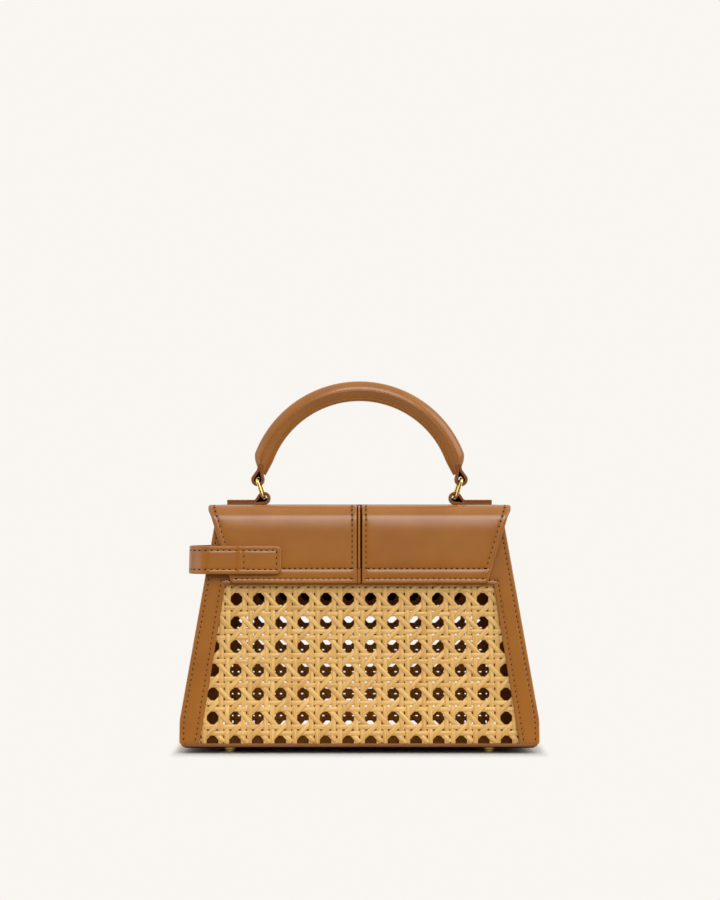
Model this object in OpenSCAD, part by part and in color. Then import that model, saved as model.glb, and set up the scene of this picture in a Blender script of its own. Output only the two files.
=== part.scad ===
// Small box bag: a leather-framed body with woven cane panels front and back,
// a top flap that folds over the front, and an arched handle on two wire rings.
// The bag stands on the plane z = 0, centred on the origin, with its front towards -Y.

/* [Body] */
// Width of the body across its foot
body_w = 202; // [180:1:240]
// Depth of the body across its foot
body_d = 86; // [76:1:110]
// Depth of the body across the top of its panels
top_d = 52; // [44:1:60]
// Height of the front and back panels above the tray floor
panel_rise = 128.7; // [122:0.1:136]
// Height up to which the sides stand straight before they lean in
side_straight = 13.6; // [8:0.1:24]
// How far each side leans in for each unit of height
side_slope = 0.167; // [0.12:0.001:0.2]
// Radius of the lower corners of the panels
corner_r = 4; // [3:0.5:8]
// Thickness of the leather frame on each panel
frame_t = 2; // [1.6:0.1:2.6]
// Thickness of the leather facing behind each panel
facing_t = 1.4; // [1:0.1:2]
// How much wider the legs of the back facing are than those of the frame
facing_in = 7; // [0:0.5:10]
// Thickness of the leather gussets
gusset_t = 1.8; // [1.2:0.1:2.4]
// How far the gussets lie inside the edges of the frames
gusset_inset = 2; // [1.9:0.1:3]
// How far the gussets stop below the flap
gusset_drop = 2; // [1:0.5:6]
// Play where sewn pieces meet
seam_gap = 0.15; // [0.1:0.05:0.3]

/* [Tray and feet] */
// Thickness of the tray floor
floor_t = 1.5; // [1.2:0.1:2.5]
// Height of the rim that turns up in front of each panel
rim_h = 1.6; // [1.2:0.1:3]
// Thickness of that rim
rim_t = 1.6; // [1.2:0.1:2]
// Radius of the upright corners of the tray
tray_r = 2; // [1:0.25:2.5]
// How far the ends of the tray lie inside the sides of the panels
tray_in = 2.2; // [1.5:0.1:3]
// Height of a foot
foot_h = 3.3; // [2.5:0.1:5]
// Radius of a foot's collar
foot_collar_r = 4.2; // [3.5:0.1:5.5]
// Radius of a foot's flat bottom
foot_pad_r = 2.6; // [2:0.1:3.2]
// Radius of the rivet stem that holds a foot
foot_stem_r = 1.1; // [0.8:0.1:1.5]
// Distance of the feet from the sides of the tray
foot_side = 28; // [16:1:40]
// Distance of the feet from the front and back of the tray
foot_end = 10; // [8:1:16]

/* [Cane] */
// Distance between neighbouring holes across
cane_pitch = 12.7; // [12:0.1:13.4]
// Distance between neighbouring holes up the panel
cane_rise = 13.36; // [12.6:0.02:14]
// Width of a hole
hole_w = 6.5; // [5.6:0.1:7]
// Height of a hole
hole_h = 6.8; // [5.8:0.1:7.2]
// How much the diagonal strands cut off each corner of a hole
hole_cut = 1.9; // [1.4:0.1:2.4]
// Least width of a hole that shows beside the frame
hole_show = 2.8; // [2:0.1:4]
// Width of a strand
strand_w = 2.9; // [2.4:0.1:3]
// Distance between the middles of the two strands of a pair
strand_pair = 3.2; // [3.2:0.1:3.6]
// How far a strand stands above the mat
strand_h = 0.5; // [0.3:0.05:0.8]
// Thickness of the mat between its strands
mat_t = 1.1; // [0.8:0.1:1.6]
// Height of the window above the tray floor
window_rise = 89.2; // [84:0.1:92]
// Half width of the window at its top
window_top = 76.3; // [72:0.1:79]
// Half width of the window at the tray floor
window_foot = 89.9; // [86:0.1:91]
// How far the mat runs on behind the frame
mat_margin = 8; // [5:0.5:9]
// Height of the middle of the top row of holes above the tray floor
top_row = 81.3; // [80:0.1:82]

/* [Flap] */
// Height of the top of the flap above the ground
flap_top = 139.4; // [139:0.1:143]
// Half width of the flap along its fold
flap_half = 86.5; // [84:0.1:90]
// Half width of the flap along its lower edge
flap_lip = 72.5; // [68:0.1:80]
// Height of the flap's lower edge above the ground
flap_edge = 95; // [92:0.1:104]
// Radius of the fold, outside
fold_r = 8; // [6:0.5:9]
// Thickness of the outer leather
skin_t = 2; // [1.6:0.1:2.4]
// Thickness of the lining
lining_t = 1; // [0.6:0.1:1.4]
// Gap between the closed flap and the front frame
flap_gap = 0.5; // [0.4:0.1:1]
// Width of the slot between the two outer panels
slot_w = 2.9; // [2.4:0.1:4]
// Height of the hem that closes the lower end of that slot
slot_hem = 2.2; // [1:0.1:4]
// Width of the piping in that slot
piping_w = 1.7; // [1:0.1:2]
// How far the piping lies to the left of the middle
piping_shift = 0.4; // [0:0.1:0.5]
// How far the piping stands above the outer leather
piping_h = 0.4; // [0.2:0.1:0.8]
// Height of the piping's lower end above the ground
piping_end = 103.6; // [100:0.1:110]
// Radius of the lower corners of the flap
lip_r = 2.5; // [1:0.5:5]
// Height of the back yoke's lower edge above the ground
yoke_edge = 80; // [76:0.5:90]
// How far the yoke runs onto the top before the hinge
yoke_ledge = 2; // [1:0.5:6]
// Play in the fold where the flap meets the yoke
hinge_gap = 0.3; // [0.2:0.05:0.5]
// Gap between the yoke and the back frame
yoke_gap = 0.3; // [0.2:0.1:0.5]

/* [Closure] */
// Radius of the two closing magnets
magnet_r = 7; // [5:0.5:9]
// Thickness of the magnet in the front frame
magnet_t = 1.2; // [0.8:0.1:1.4]
// Height of the magnets above the ground
magnet_z = 112; // [108:1:118]
// Play round a magnet
magnet_play = 0.1; // [0.05:0.05:0.2]

/* [Strap] */
// Width of the side strap
strap_w = 15.9; // [12:0.1:18]
// Thickness of the side strap
strap_t = 2.4; // [1.8:0.1:3]
// Height of the strap's middle above the ground
strap_z = 108.1; // [106:0.1:112]
// Distance of the strap's sewn end from the middle
strap_end = 44.2; // [38:0.1:56]
// Distance of the strap's outer face from the middle, at its widest
strap_reach = 97.4; // [95:0.1:100]
// Radius of the bend at the corner of the bag, at the strap's middle
strap_bend = 12; // [8:0.5:14]
// How far behind the middle the strap's free end lies
strap_tail = 14; // [8:0.5:15]
// Length of the free end that lies along the gusset
strap_rest = 12; // [8:0.5:14]
// Radius of the strap's end corners
strap_r = 3; // [1:0.5:4]
// Gap between the free end and the gusset
strap_gap = 0.5; // [0.4:0.1:1]

/* [Handle] */
// Height of the centre of the handle's arc above the ground
arc_z = 146.3; // [145:0.1:152]
// Radius of the handle's top
arc_outer = 65.3; // [60:0.1:75]
// Radius of the rolled grip
grip_r = 4.9; // [4:0.1:6]
// Distance from the handle's top to the stitched edge inside the arc
grip_h = 11.6; // [10:0.1:14]
// Thickness of the stitched flange at its ledge
flange_t = 10.4; // [9:0.1:12]
// Thickness of the stitched flange at its edge
flange_edge = 6.4; // [4:0.1:8]
// Angle above the level at which the grip starts to narrow
grip_angle = 21; // [18:0.5:26]
// Angle above the level at which the grip ends
neck_angle = 12; // [11.5:0.5:13]
// How much further the flange runs round the arc than the grip, as an angle
neck_skew = 3; // [0:0.5:4]
// Height of the grip at its ends
neck_h = 5.8; // [5:0.1:6.4]

/* [Rings and loops] */
// Distance of the ring's lower bar from the middle
ring_low_x = 55.7; // [50:0.1:60]
// Height of the ring's lower bar above the flap
ring_low_z = 4.4; // [4.2:0.1:4.8]
// How far the ring's upper bar lies outside its lower bar
ring_lean = 3.5; // [2:0.1:5]
// Height of the ring's upper bar above its lower bar
ring_rise = 10.6; // [9.6:0.1:12]
// Angle by which the front of each ring turns outwards
ring_yaw = 5; // [0:0.5:6]
// Thickness of the ring's wire
wire_d = 1.5; // [1.2:0.1:1.8]
// Width of the ring inside
ring_w = 11; // [10.8:0.1:14]
// Radius of the ring's corners at the middle of the wire
ring_r = 2.2; // [1.8:0.1:3]
// Inner radius of the leather loops
loop_r = 2.1; // [2:0.1:2.4]
// Distance from the middle of a loop to the point where its two layers meet
loop_point = 4.6; // [3.6:0.1:5.5]
// Thickness of the leather in a loop
loop_t = 1.7; // [1.4:0.1:1.8]
// Width of the loops and tabs
loop_w = 10; // [9:0.1:10.4]
// Distance of a tab's outer end from the middle
tab_end = 77.4; // [70:0.1:84]
// Thickness of a tab's two layers
tab_t = 2.9; // [2.6:0.1:4]

/* [Hidden] */

$fn = 64;
LEATHER = "#a0652f";
LEATHER_DARK = "#8a5426";
CANE = "#d8a96b";
BRASS = "#d9b45a";
STEEL = "#b8babd";

// Larger than the bag, and how far a cut runs past the face it opens
FAR = 300;
PAST = 1;

// Steps in the bends of the leather
fold_steps = 14;
lip_steps = 5;
strap_steps = 10;
grip_steps = 8;
loop_steps = 24;

// Panel planes
floor_z = foot_h + floor_t;
panel_y = body_d / 2 - rim_t - seam_gap;
lean = atan((panel_y - top_d / 2) / panel_rise);
panel_len = panel_rise / cos(lean);
stack_t = frame_t + mat_t + facing_t;
side_half = body_w / 2;
foot_x = side_half - foot_side;
foot_y = body_d / 2 - foot_end;

// Half width of the body at a height above the tray floor
function half_at(rise) = side_half - side_slope * max(0, rise - side_straight);

// Half width of the window at a distance up the panel
window_len = window_rise / cos(lean);
window_slope = (window_foot - window_top) / window_len;
function window_at(u) = window_foot - window_slope * u;

// Points of an arc
function arc(centre, r, from, to, steps = 8) = [
    for (i = [0 : steps])
        let (a = from + (to - from) * i / steps) centre + r * [cos(a), sin(a)]
];

// The same points mirrored across the middle, in reverse order
function mirrored(points) = [
    for (i = [len(points) - 1 : -1 : 0]) [-points[i][0], points[i][1]]
];
function both_sides(points) = concat(points, mirrored(points));

// Points of one panel lie in its plane: x across, y up the slope, z outwards
module on_front() {
    translate([0, -panel_y, floor_z]) rotate([90 - lean, 0, 0]) children();
}
module on_back() {
    mirror([0, 1, 0]) on_front() children();
}

// A layer of a panel between two depths below the frame's outer face
module layer(depth, thick) {
    translate([0, 0, -depth - thick]) linear_extrude(thick) children();
}

// How far up the panel a layer starts, so that it stands on the tray floor
function foot_of(depth) = depth * tan(lean) + seam_gap;

// Outline of a panel from its foot to its top
function panel_outline(foot, inset) = both_sides(concat(
    arc([side_half - inset - corner_r, foot + corner_r], corner_r, -90, 0),
    [
        [side_half - inset, side_straight / cos(lean)],
        [half_at(panel_rise) - inset, panel_len]
    ]
));

// Outline of the window, open at the foot
function window_outline(foot, narrow) = both_sides([
    [window_at(foot - PAST) - narrow, foot - PAST],
    [window_top - narrow, window_len]
]);

module frame_shape(foot, inset, narrow) {
    difference() {
        polygon(panel_outline(foot, inset));
        polygon(window_outline(foot, narrow));
    }
}

// Tray and feet: the tray has a rim along its front and back, and is open at its ends
module base_tray() {
    tray_w = body_w - 2 * tray_in;
    color(LEATHER_DARK)
    difference() {
        translate([0, 0, foot_h]) linear_extrude(floor_t + rim_h) union() {
            square([tray_w - 2 * tray_r, body_d], center = true);
            square([tray_w, body_d - 2 * tray_r], center = true);
            for (x = [-1, 1], y = [-1, 1])
                translate([x * (tray_w / 2 - tray_r), y * (body_d / 2 - tray_r)]) circle(tray_r);
        }
        translate([0, 0, floor_z]) linear_extrude(rim_h + PAST)
            square([FAR, body_d - 2 * rim_t], center = true);
        for (x = [-1, 1], y = [-1, 1])
            translate([x * foot_x, y * foot_y, foot_h - PAST])
                cylinder(r = foot_stem_r + seam_gap / 2, h = floor_t + 2 * PAST);
    }
}

// A turned foot: flat pad, waist, collar against the tray and a stem through its floor
module foot(x, y) {
    pad_chamfer = 0.5;
    collar_h = 1;
    collar_lip = 0.9;
    waist_r = foot_collar_r - collar_lip;
    color(BRASS)
    translate([x * foot_x, y * foot_y, 0]) rotate_extrude() polygon([
        [0, 0],
        [foot_pad_r, 0],
        [foot_pad_r + pad_chamfer, pad_chamfer],
        [waist_r, foot_h - collar_h - pad_chamfer],
        [foot_collar_r, foot_h - collar_h],
        [foot_collar_r, foot_h],
        [foot_stem_r, foot_h],
        [foot_stem_r, floor_z],
        [0, floor_z]
    ]);
}

// Distance of the magnets up the front panel
magnet_u = (magnet_z - floor_z) / cos(lean);

// Leather frame of a panel, with the pocket for its magnet where it has one
module frame(has_magnet) {
    color(LEATHER)
    difference() {
        layer(0, frame_t) frame_shape(foot_of(frame_t), 0, 0);
        if (has_magnet)
            translate([0, magnet_u, -magnet_t]) cylinder(r = magnet_r + magnet_play, h = frame_t);
    }
}

module facing(narrow) {
    color(LEATHER_DARK)
    layer(frame_t + mat_t, facing_t) frame_shape(foot_of(stack_t), gusset_inset, narrow);
}

// Woven cane: a mat with eight-sided holes, upright strands outside and level strands inside
mat_foot = foot_of(frame_t + mat_t);
first_row = top_row / cos(lean);
rows = ceil(first_row / cane_rise);
columns = ceil(window_foot / cane_pitch);

// Corners of a hole in order: side, end, and which of its two edges the corner lies on
hole_corners = [
    [-1, -1, 0], [1, -1, 0], [1, -1, 1], [1, 1, 1], [1, 1, 0], [-1, 1, 0], [-1, 1, 1], [-1, -1, 1]
];
function hole(x, u) = [
    for (p = hole_corners)
        let (cut = hole_cut * (p[2] == 0 ? [1, 0] : [0, 1]))
        [x + p[0] * (hole_w / 2 - cut[0]), max(u + p[1] * (hole_h / 2 - cut[1]), mat_foot + seam_gap)]
];

hole_sites = [
    for (row = [0 : rows], col = [0 : columns - 1], side = [-1, 1])
        let (u = first_row - row * cane_rise, x = (col + 0.5) * cane_pitch)
        if (x - hole_w / 2 + hole_show < window_at(u) && u + hole_h / 2 - hole_cut > mat_foot + seam_gap)
            [side * x, u]
];

module mat() {
    outline = both_sides([
        [window_at(mat_foot) + mat_margin, mat_foot],
        [window_top + mat_margin, window_len + mat_margin]
    ]);
    holes = [for (site = hole_sites) hole(site[0], site[1])];
    points = concat(outline, [for (h = holes) each h]);
    edge = [for (i = [0 : len(outline) - 1]) i];
    rims = [for (k = [0 : len(holes) - 1]) [for (i = [0 : 7]) len(outline) + 8 * k + i]];
    layer(frame_t, mat_t) polygon(points, concat([edge], rims));
}

// An upright strand in the window, shortened where the window narrows
module upright(x) {
    outer = abs(x) + strand_w / 2 + 2 * seam_gap;
    top = min(window_len - 2 * seam_gap, (window_foot - outer) / window_slope);
    if (top > mat_foot + cane_rise / 2)
        translate([x - strand_w / 2, mat_foot, -frame_t])
            cube([strand_w, top - mat_foot, strand_h]);
}

// A level strand across the window, on the inner side of the mat
module level(u, narrow) {
    half = window_at(u + strand_w / 2) - narrow - 2 * seam_gap;
    if (u - strand_w / 2 > foot_of(frame_t + mat_t + strand_h) && u + strand_w / 2 < window_len)
        translate([-half, u - strand_w / 2, -frame_t - mat_t - strand_h])
            cube([2 * half, strand_w, strand_h]);
}

module cane(narrow) {
    color(CANE)
    union() {
        mat();
        for (col = [-columns : columns], side = [-1, 1])
            upright(col * cane_pitch + side * strand_pair / 2);
        for (row = [-1 : rows], side = [-1, 1])
            level(first_row - (row + 0.5) * cane_rise + side * strand_pair / 2, narrow);
    }
}

// Gussets: a side strip between the two panels, bent where the sides start to lean
gusset_top = flap_top - skin_t - lining_t - gusset_drop;
module gusset(side) {
    rise = gusset_top - floor_z;
    outer = [
        [side_half - gusset_inset, floor_z + seam_gap],
        [side_half - gusset_inset, floor_z + side_straight],
        [half_at(rise) - gusset_inset, gusset_top]
    ];
    inner = [for (i = [2 : -1 : 0]) outer[i] - [gusset_t, 0]];
    color(LEATHER)
    mirror([side < 0 ? 1 : 0, 0, 0])
    difference() {
        translate([0, body_d / 2, 0]) rotate([90, 0, 0]) linear_extrude(body_d)
            polygon(concat(outer, inner));
        on_front() translate([-FAR / 2, -FAR / 2, -stack_t - seam_gap]) cube([FAR, FAR, FAR]);
        on_back() translate([-FAR / 2, -FAR / 2, -stack_t - seam_gap]) cube([FAR, FAR, FAR]);
    }
}

// Profile of leather that runs over the top and folds down a panel, in the plane of y and z.
// The outer face of the folded part lies proud of the frame; the layer spans two depths below it.
fold_z = flap_top - fold_r;
function fold_y(proud) =
    -panel_y + (fold_r - proud + sin(lean) * (fold_z - floor_z)) / cos(lean);

function fold_line(y, r, back_y) = concat(
    [[back_y, fold_z + r]],
    arc([y, fold_z], r, 90, 180 - lean, fold_steps),
    [[y, fold_z] + r * [-cos(lean), sin(lean)] - (flap_top - floor_z) * [sin(lean), cos(lean)]]
);

module fold_profile(proud, depth, thick, back_y) {
    y = fold_y(proud);
    inner = fold_line(y, fold_r - depth - thick, back_y);
    polygon(concat(
        fold_line(y, fold_r - depth, back_y),
        [for (i = [len(inner) - 1 : -1 : 0]) inner[i]]
    ));
}

// Outline of the folded leather seen from the front, between two distances from the middle
function lip_outline(lip, edge, left, right) =
    let (
        side = atan(flap_slope),
        c = [lip - lip_r * (1 - sin(side)) / cos(side), edge + lip_r],
        corner = arc(c, lip_r, -90, -side, lip_steps),
        right_side = concat(corner, [[flap_half + flap_slope * PAST, flap_top + PAST]])
    )
    concat(
        left < -lip ? mirrored(right_side) : [[left, flap_top + PAST], [left, edge]],
        right > lip ? right_side : [[right, edge], [right, flap_top + PAST]]
    );

module folded(proud, depth, thick, back_y, lip, edge, left, right) {
    intersection() {
        translate([-FAR / 2, 0, 0]) rotate([90, 0, 90]) linear_extrude(FAR)
            fold_profile(proud, depth, thick, back_y);
        translate([0, FAR / 2, 0]) rotate([90, 0, 0]) linear_extrude(FAR)
            polygon(lip_outline(lip, edge, left, right));
    }
}

// The fold of the hinge runs along the top of the back, where the yoke ends
yoke_proud = yoke_gap + skin_t;
flap_proud = flap_gap + lining_t + skin_t;
hinge_y = -fold_y(yoke_proud) - yoke_ledge;
flap_back = hinge_y - hinge_gap / 2;
flap_slope = (flap_half - flap_lip) / (flap_top - flap_edge);
yoke_lip = flap_half - flap_slope * (flap_top - yoke_edge);

module back_yoke() {
    color(LEATHER)
    mirror([0, 1, 0])
        folded(yoke_proud, 0, skin_t, -hinge_y - hinge_gap / 2, yoke_lip, yoke_edge, -FAR, FAR);
}

module flap_skin(left, right) {
    color(LEATHER)
    folded(flap_proud, 0, skin_t, flap_back, flap_lip, flap_edge, left, right);
}
module flap_panel_left() {
    flap_skin(-FAR, -slot_w / 2);
}
module flap_panel_right() {
    flap_skin(slot_w / 2, FAR);
}

// The lining under both outer panels, its lower hem turned up to close the end of the slot
module flap_lining() {
    hem_half = slot_w / 2 - seam_gap;
    through = lining_t / 2;
    color(LEATHER_DARK)
    difference() {
        union() {
            folded(flap_proud, skin_t, lining_t, flap_back, flap_lip, flap_edge, -FAR, FAR);
            intersection() {
                folded(flap_proud, 0, skin_t + lining_t / 2, flap_back, flap_lip, flap_edge,
                    -hem_half, hem_half);
                translate([-FAR / 2, -FAR / 2, flap_edge + slot_hem - FAR]) cube([FAR, FAR, FAR]);
            }
        }
        magnet_disc(magnet_r + magnet_play, flap_gap - through, lining_t + 2 * through);
    }
}

// A disc on the front, between two distances outside the frame's outer face
module magnet_disc(r, from, thick) {
    on_front() translate([0, magnet_u, from]) cylinder(r = r, h = thick);
}

module flap_piping() {
    left = -piping_shift - piping_w / 2;
    color(LEATHER_DARK)
    intersection() {
        translate([left, 0, 0]) rotate([90, 0, 90]) linear_extrude(piping_w)
            fold_profile(flap_proud, -piping_h, skin_t + piping_h, flap_back);
        translate([-FAR / 2, -FAR / 2, piping_end]) cube([FAR, FAR, FAR]);
    }
}

module flap_magnet() {
    color(STEEL) magnet_disc(magnet_r, flap_gap, lining_t);
}
module front_magnet() {
    color(STEEL) magnet_disc(magnet_r, -magnet_t, magnet_t);
}

// Side strap: sewn flat on the flap, bent round the left side, its free end along the gusset
strap_y = -panel_y + (strap_z - floor_z) * tan(lean) - (flap_proud + strap_t / 2) / cos(lean);
strap_wide = strap_reach - strap_t / 2;
strap_close = half_at(strap_z - floor_z) - gusset_inset + strap_gap + strap_t / 2
    + side_slope * strap_w / 2;
bend_end = strap_y + strap_bend;
rest_from = strap_tail - strap_rest;

// Points of the strap's middle seen from above, as distance from the middle and y
function ease(t) = t * t * (3 - 2 * t);
corner_turns = [0, 20, 50, 90];
strap_path = concat(
    [for (a = corner_turns) [strap_end + strap_r * (1 - cos(a)), strap_y]],
    arc([strap_wide - strap_bend, bend_end], strap_bend, -90, 0, strap_steps),
    [for (i = [1 : strap_steps]) [
        strap_wide + (strap_close - strap_wide) * ease(i / strap_steps),
        bend_end + (rest_from - bend_end) * i / strap_steps
    ]],
    [for (a = corner_turns) [strap_close, strap_tail - strap_r * (1 - cos(90 - a))]]
);
strap_last = len(strap_path) - 1;

// Half height of the strap at a point, less where an end corner is rounded
function strap_half(i) =
    let (s = min(norm(strap_path[i] - strap_path[0]), norm(strap_path[i] - strap_path[strap_last])))
    strap_w / 2 - (s < strap_r ? strap_r - sqrt(strap_r * strap_r - (strap_r - s) * (strap_r - s)) : 0);

function strap_normal(i) =
    let (
        step = strap_path[min(i + 1, strap_last)] - strap_path[max(i - 1, 0)],
        n = [step[1], -step[0]] / norm(step)
    ) n;

// The strap leans with the flap at its front and with the gusset at its free end
function strap_ring(i) =
    let (
        p = strap_path[i],
        n = strap_normal(i) * strap_t / 2,
        h = strap_half(i),
        turn = pow(max(0, min(1, (p[1] - strap_y) / (rest_from - strap_y))), 2),
        tilt = [-side_slope * turn, tan(lean) * (1 - turn)]
    ) [
        for (c = [[1, -1], [1, 1], [-1, 1], [-1, -1]])
            let (q = p + c[0] * n + c[1] * h * tilt) [-q[0], q[1], strap_z + c[1] * h]
    ];

module side_strap() {
    rings = [for (i = [0 : strap_last]) strap_ring(i)];
    walls = [
        for (i = [0 : strap_last - 1], k = [0 : 3])
            let (a = 4 * i + k, b = 4 * i + (k + 1) % 4) each [[a, b, a + 4], [b, b + 4, a + 4]]
    ];
    last = 4 * strap_last;
    ends = [[0, 2, 1], [0, 3, 2], [last, last + 1, last + 2], [last, last + 2, last + 3]];
    color(LEATHER)
        polyhedron([for (ring = rings) each ring], concat(walls, ends), convexity = 6);
}

// Outline of a leather loop: round, with a point where its two layers meet
loop_out = loop_r + loop_t;
function drop(r) =
    let (point = loop_point * r / loop_r, a = acos(r / point))
    concat(arc([0, 0], r, a, 360 - a, loop_steps), [[point, 0]]);

// Tabs: a strip folded double on the flap, with a loop for the ring at its inner end
module tab(side) {
    dip = -asin((loop_out - tab_t / 2) / loop_point);
    color(LEATHER_DARK)
    mirror([side < 0 ? 1 : 0, 0, 0])
    translate([ring_low_x, loop_w / 2, flap_top]) rotate([90, 0, 0]) linear_extrude(loop_w)
    difference() {
        union() {
            intersection() {
                translate([0, loop_out]) rotate(dip) polygon(drop(loop_out));
                translate([-FAR / 2, 0]) square(FAR);
            }
            square([tab_end - ring_low_x, tab_t]);
        }
        translate([0, loop_out]) rotate(dip) polygon(drop(loop_r));
    }
}

// Rings: round wire bent to a rectangle, in the plane of x and y. The wire swells a little in its
// bends, and the straight lengths run a short way into them.
bend_swell = 0.02;
bend_lap = 0.1;
ring_low = flap_top + ring_low_z;
ring_size = [(ring_w + wire_d) / 2, norm([ring_lean, ring_rise]) / 2];
module wire_ring() {
    for (k = [0 : 3]) {
        reach = ring_size[k % 2];
        half = ring_size[(k + 1) % 2] - ring_r;
        corner = [ring_size[0] - ring_r, ring_size[1] - ring_r];
        rotate(90 * k) translate([reach, 0, 0]) rotate([90, 0, 0])
            cylinder(d = wire_d, h = 2 * (half + bend_lap), center = true);
        translate([(k == 0 || k == 3 ? 1 : -1) * corner[0], (k < 2 ? 1 : -1) * corner[1], 0])
            rotate(90 * k) rotate_extrude(angle = 90) translate([ring_r, 0])
                circle(d = wire_d + 2 * bend_swell);
    }
}

module ring(side) {
    turn = side * atan(ring_lean / ring_rise);
    color(BRASS)
    translate([side * ring_low_x, 0, ring_low]) rotate([0, turn, 0]) rotate([0, 0, side * ring_yaw])
        rotate([90, 0, 90]) translate([0, ring_size[1], 0]) wire_ring();
}

// Handle: a rolled grip with a stitched flange inside the arc, narrowing to a loop at each end
grip_z = arc_outer - grip_r;
flange_z = arc_outer - grip_h;
module grip_section() {
    translate([grip_z, 0]) circle(grip_r);
    polygon([
        [flange_z, -flange_edge / 2],
        [grip_z, -flange_t / 2],
        [grip_z, flange_t / 2],
        [flange_z, flange_edge / 2]
    ]);
}

// The handle rests on the ring's upper bar, which lies a little high in its loop
bar_play = 0.4;
loop_x = ring_low_x + ring_lean;
loop_z = ring_low + ring_rise - bar_play;
loop_at = norm([loop_x, loop_z - arc_z]);
loop_angle = atan((loop_z - arc_z) / loop_x);
neck_in = 0.6;
grip_clear = 0.3;
neck_r = loop_at - neck_in;
neck_lap = 2.5;

// Outline of the grip from the front: clear of it along the arc, then narrowing to the neck
grip_ends = [neck_angle + neck_skew / 2, neck_angle - neck_skew / 2];
grip_start = grip_ends[1] - neck_skew / 2;
function grip_turns(end) = concat(
    [for (i = [0 : grip_steps]) end + (grip_angle - end) * i / grip_steps],
    [for (i = [1 : grip_steps]) grip_angle + (90 - grip_angle) * i / (grip_steps + 0.5)]
);
function grip_side(from, to, end) = [
    for (a = grip_turns(end))
        let (narrow = pow(max(0, (grip_angle - a) / (grip_angle - end)), 2))
        (from + (to - from) * narrow) * [cos(a), sin(a)]
];
grip_outer = both_sides(grip_side(arc_outer + grip_clear, neck_r + neck_h / 2, grip_ends[0]));
grip_inner = both_sides(grip_side(flange_z - grip_clear, neck_r - neck_h / 2, grip_ends[1]));
grip_outline = concat(grip_outer, [for (i = [len(grip_inner) - 1 : -1 : 0]) grip_inner[i]]);

module handle_loop(side) {
    neck_len = loop_at * sin(neck_angle - loop_angle);
    stem = 2 * loop_t;
    up = 90 + neck_angle;
    mirror([side < 0 ? 1 : 0, 0, 0])
    translate([0, loop_w / 2, 0]) rotate([90, 0, 0]) linear_extrude(loop_w) difference() {
        union() {
            translate([loop_x, loop_z]) rotate(up) polygon(drop(loop_out));
            translate([0, arc_z]) rotate(neck_angle)
                translate([neck_r - stem / 2, -neck_len]) square([stem, neck_len + neck_lap]);
        }
        translate([loop_x, loop_z]) rotate(up) polygon(drop(loop_r));
    }
}

module handle() {
    color(LEATHER)
    union() {
        translate([0, 0, arc_z]) rotate([90, 0, 0]) intersection() {
            rotate([0, 0, grip_start]) rotate_extrude(angle = 180 - 2 * grip_start) grip_section();
            translate([0, 0, -FAR / 2]) linear_extrude(FAR) polygon(grip_outline);
        }
        handle_loop(-1);
        handle_loop(1);
    }
}

base_tray();
foot(-1, -1);  // foot_front_left
foot(1, -1);  // foot_front_right
foot(-1, 1);  // foot_back_left
foot(1, 1);  // foot_back_right
on_front() frame(true);  // front_frame
on_front() cane(0);  // front_cane
on_front() facing(0);  // front_facing
on_back() frame(false);  // back_frame
on_back() cane(facing_in);  // back_cane
on_back() facing(facing_in);  // back_facing
gusset(-1);  // gusset_left
gusset(1);  // gusset_right
back_yoke();
flap_lining();
flap_panel_left();
flap_panel_right();
flap_piping();
flap_magnet();
front_magnet();
side_strap();
tab(-1);  // tab_left
tab(1);  // tab_right
ring(-1);  // ring_left
ring(1);  // ring_right
handle();
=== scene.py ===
import math

import bmesh
import bpy
import numpy as np
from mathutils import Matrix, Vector


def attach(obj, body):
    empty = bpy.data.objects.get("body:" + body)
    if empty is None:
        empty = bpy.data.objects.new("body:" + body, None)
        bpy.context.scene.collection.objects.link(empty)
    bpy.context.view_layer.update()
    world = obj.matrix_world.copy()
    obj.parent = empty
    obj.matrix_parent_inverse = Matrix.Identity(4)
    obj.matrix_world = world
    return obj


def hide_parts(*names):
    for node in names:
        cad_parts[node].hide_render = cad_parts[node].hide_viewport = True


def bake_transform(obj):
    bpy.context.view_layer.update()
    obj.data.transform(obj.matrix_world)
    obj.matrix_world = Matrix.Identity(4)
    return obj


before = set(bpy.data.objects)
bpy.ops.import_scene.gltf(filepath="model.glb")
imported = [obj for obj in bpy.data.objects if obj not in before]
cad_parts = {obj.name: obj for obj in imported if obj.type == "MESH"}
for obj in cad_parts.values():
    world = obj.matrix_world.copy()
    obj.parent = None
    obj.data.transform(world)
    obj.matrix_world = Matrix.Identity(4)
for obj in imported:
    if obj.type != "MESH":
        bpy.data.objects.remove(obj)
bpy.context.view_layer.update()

# Studio: the bag stands on a pale mat in a white room, under soft light from above, front and right.
# The mat runs into the white around it, so that only the shadow close under the bag shows.
MM = 0.001
scene = bpy.context.scene
scene.view_settings.view_transform = "Standard"


def linear(code):
    parts = [int(code[i:i + 2], 16) / 255 for i in (1, 3, 5)]
    return [c / 12.92 if c <= 0.04045 else ((c + 0.055) / 1.055) ** 2.4 for c in parts] + [1.0]


def plug(tree, node, sockets):
    for key, value in sockets.items():
        if isinstance(value, bpy.types.Node):
            value = value.outputs[0]
        if isinstance(value, bpy.types.NodeSocket):
            tree.links.new(value, node.inputs[key])
        else:
            node.inputs[key].default_value = value


def add(tree, kind, sockets=None, **settings):
    made = tree.nodes.new(kind)
    for key, value in settings.items():
        setattr(made, key, value)
    plug(tree, made, sockets or {})
    return made


def ray_kinds(tree):
    # Whether a ray comes straight from the camera, and whether by way of a mirror or through glass
    path = add(tree, "ShaderNodeLightPath").outputs
    mirrored = add(tree, "ShaderNodeMath", {0: path["Is Glossy Ray"], 1: path["Is Transmission Ray"]},
                   operation="MAXIMUM")
    return path["Is Camera Ray"], mirrored


def new_material(name):
    made = bpy.data.materials.new(name)
    made.use_nodes = True
    return made, made.node_tree, made.node_tree.nodes["Principled BSDF"]


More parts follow.
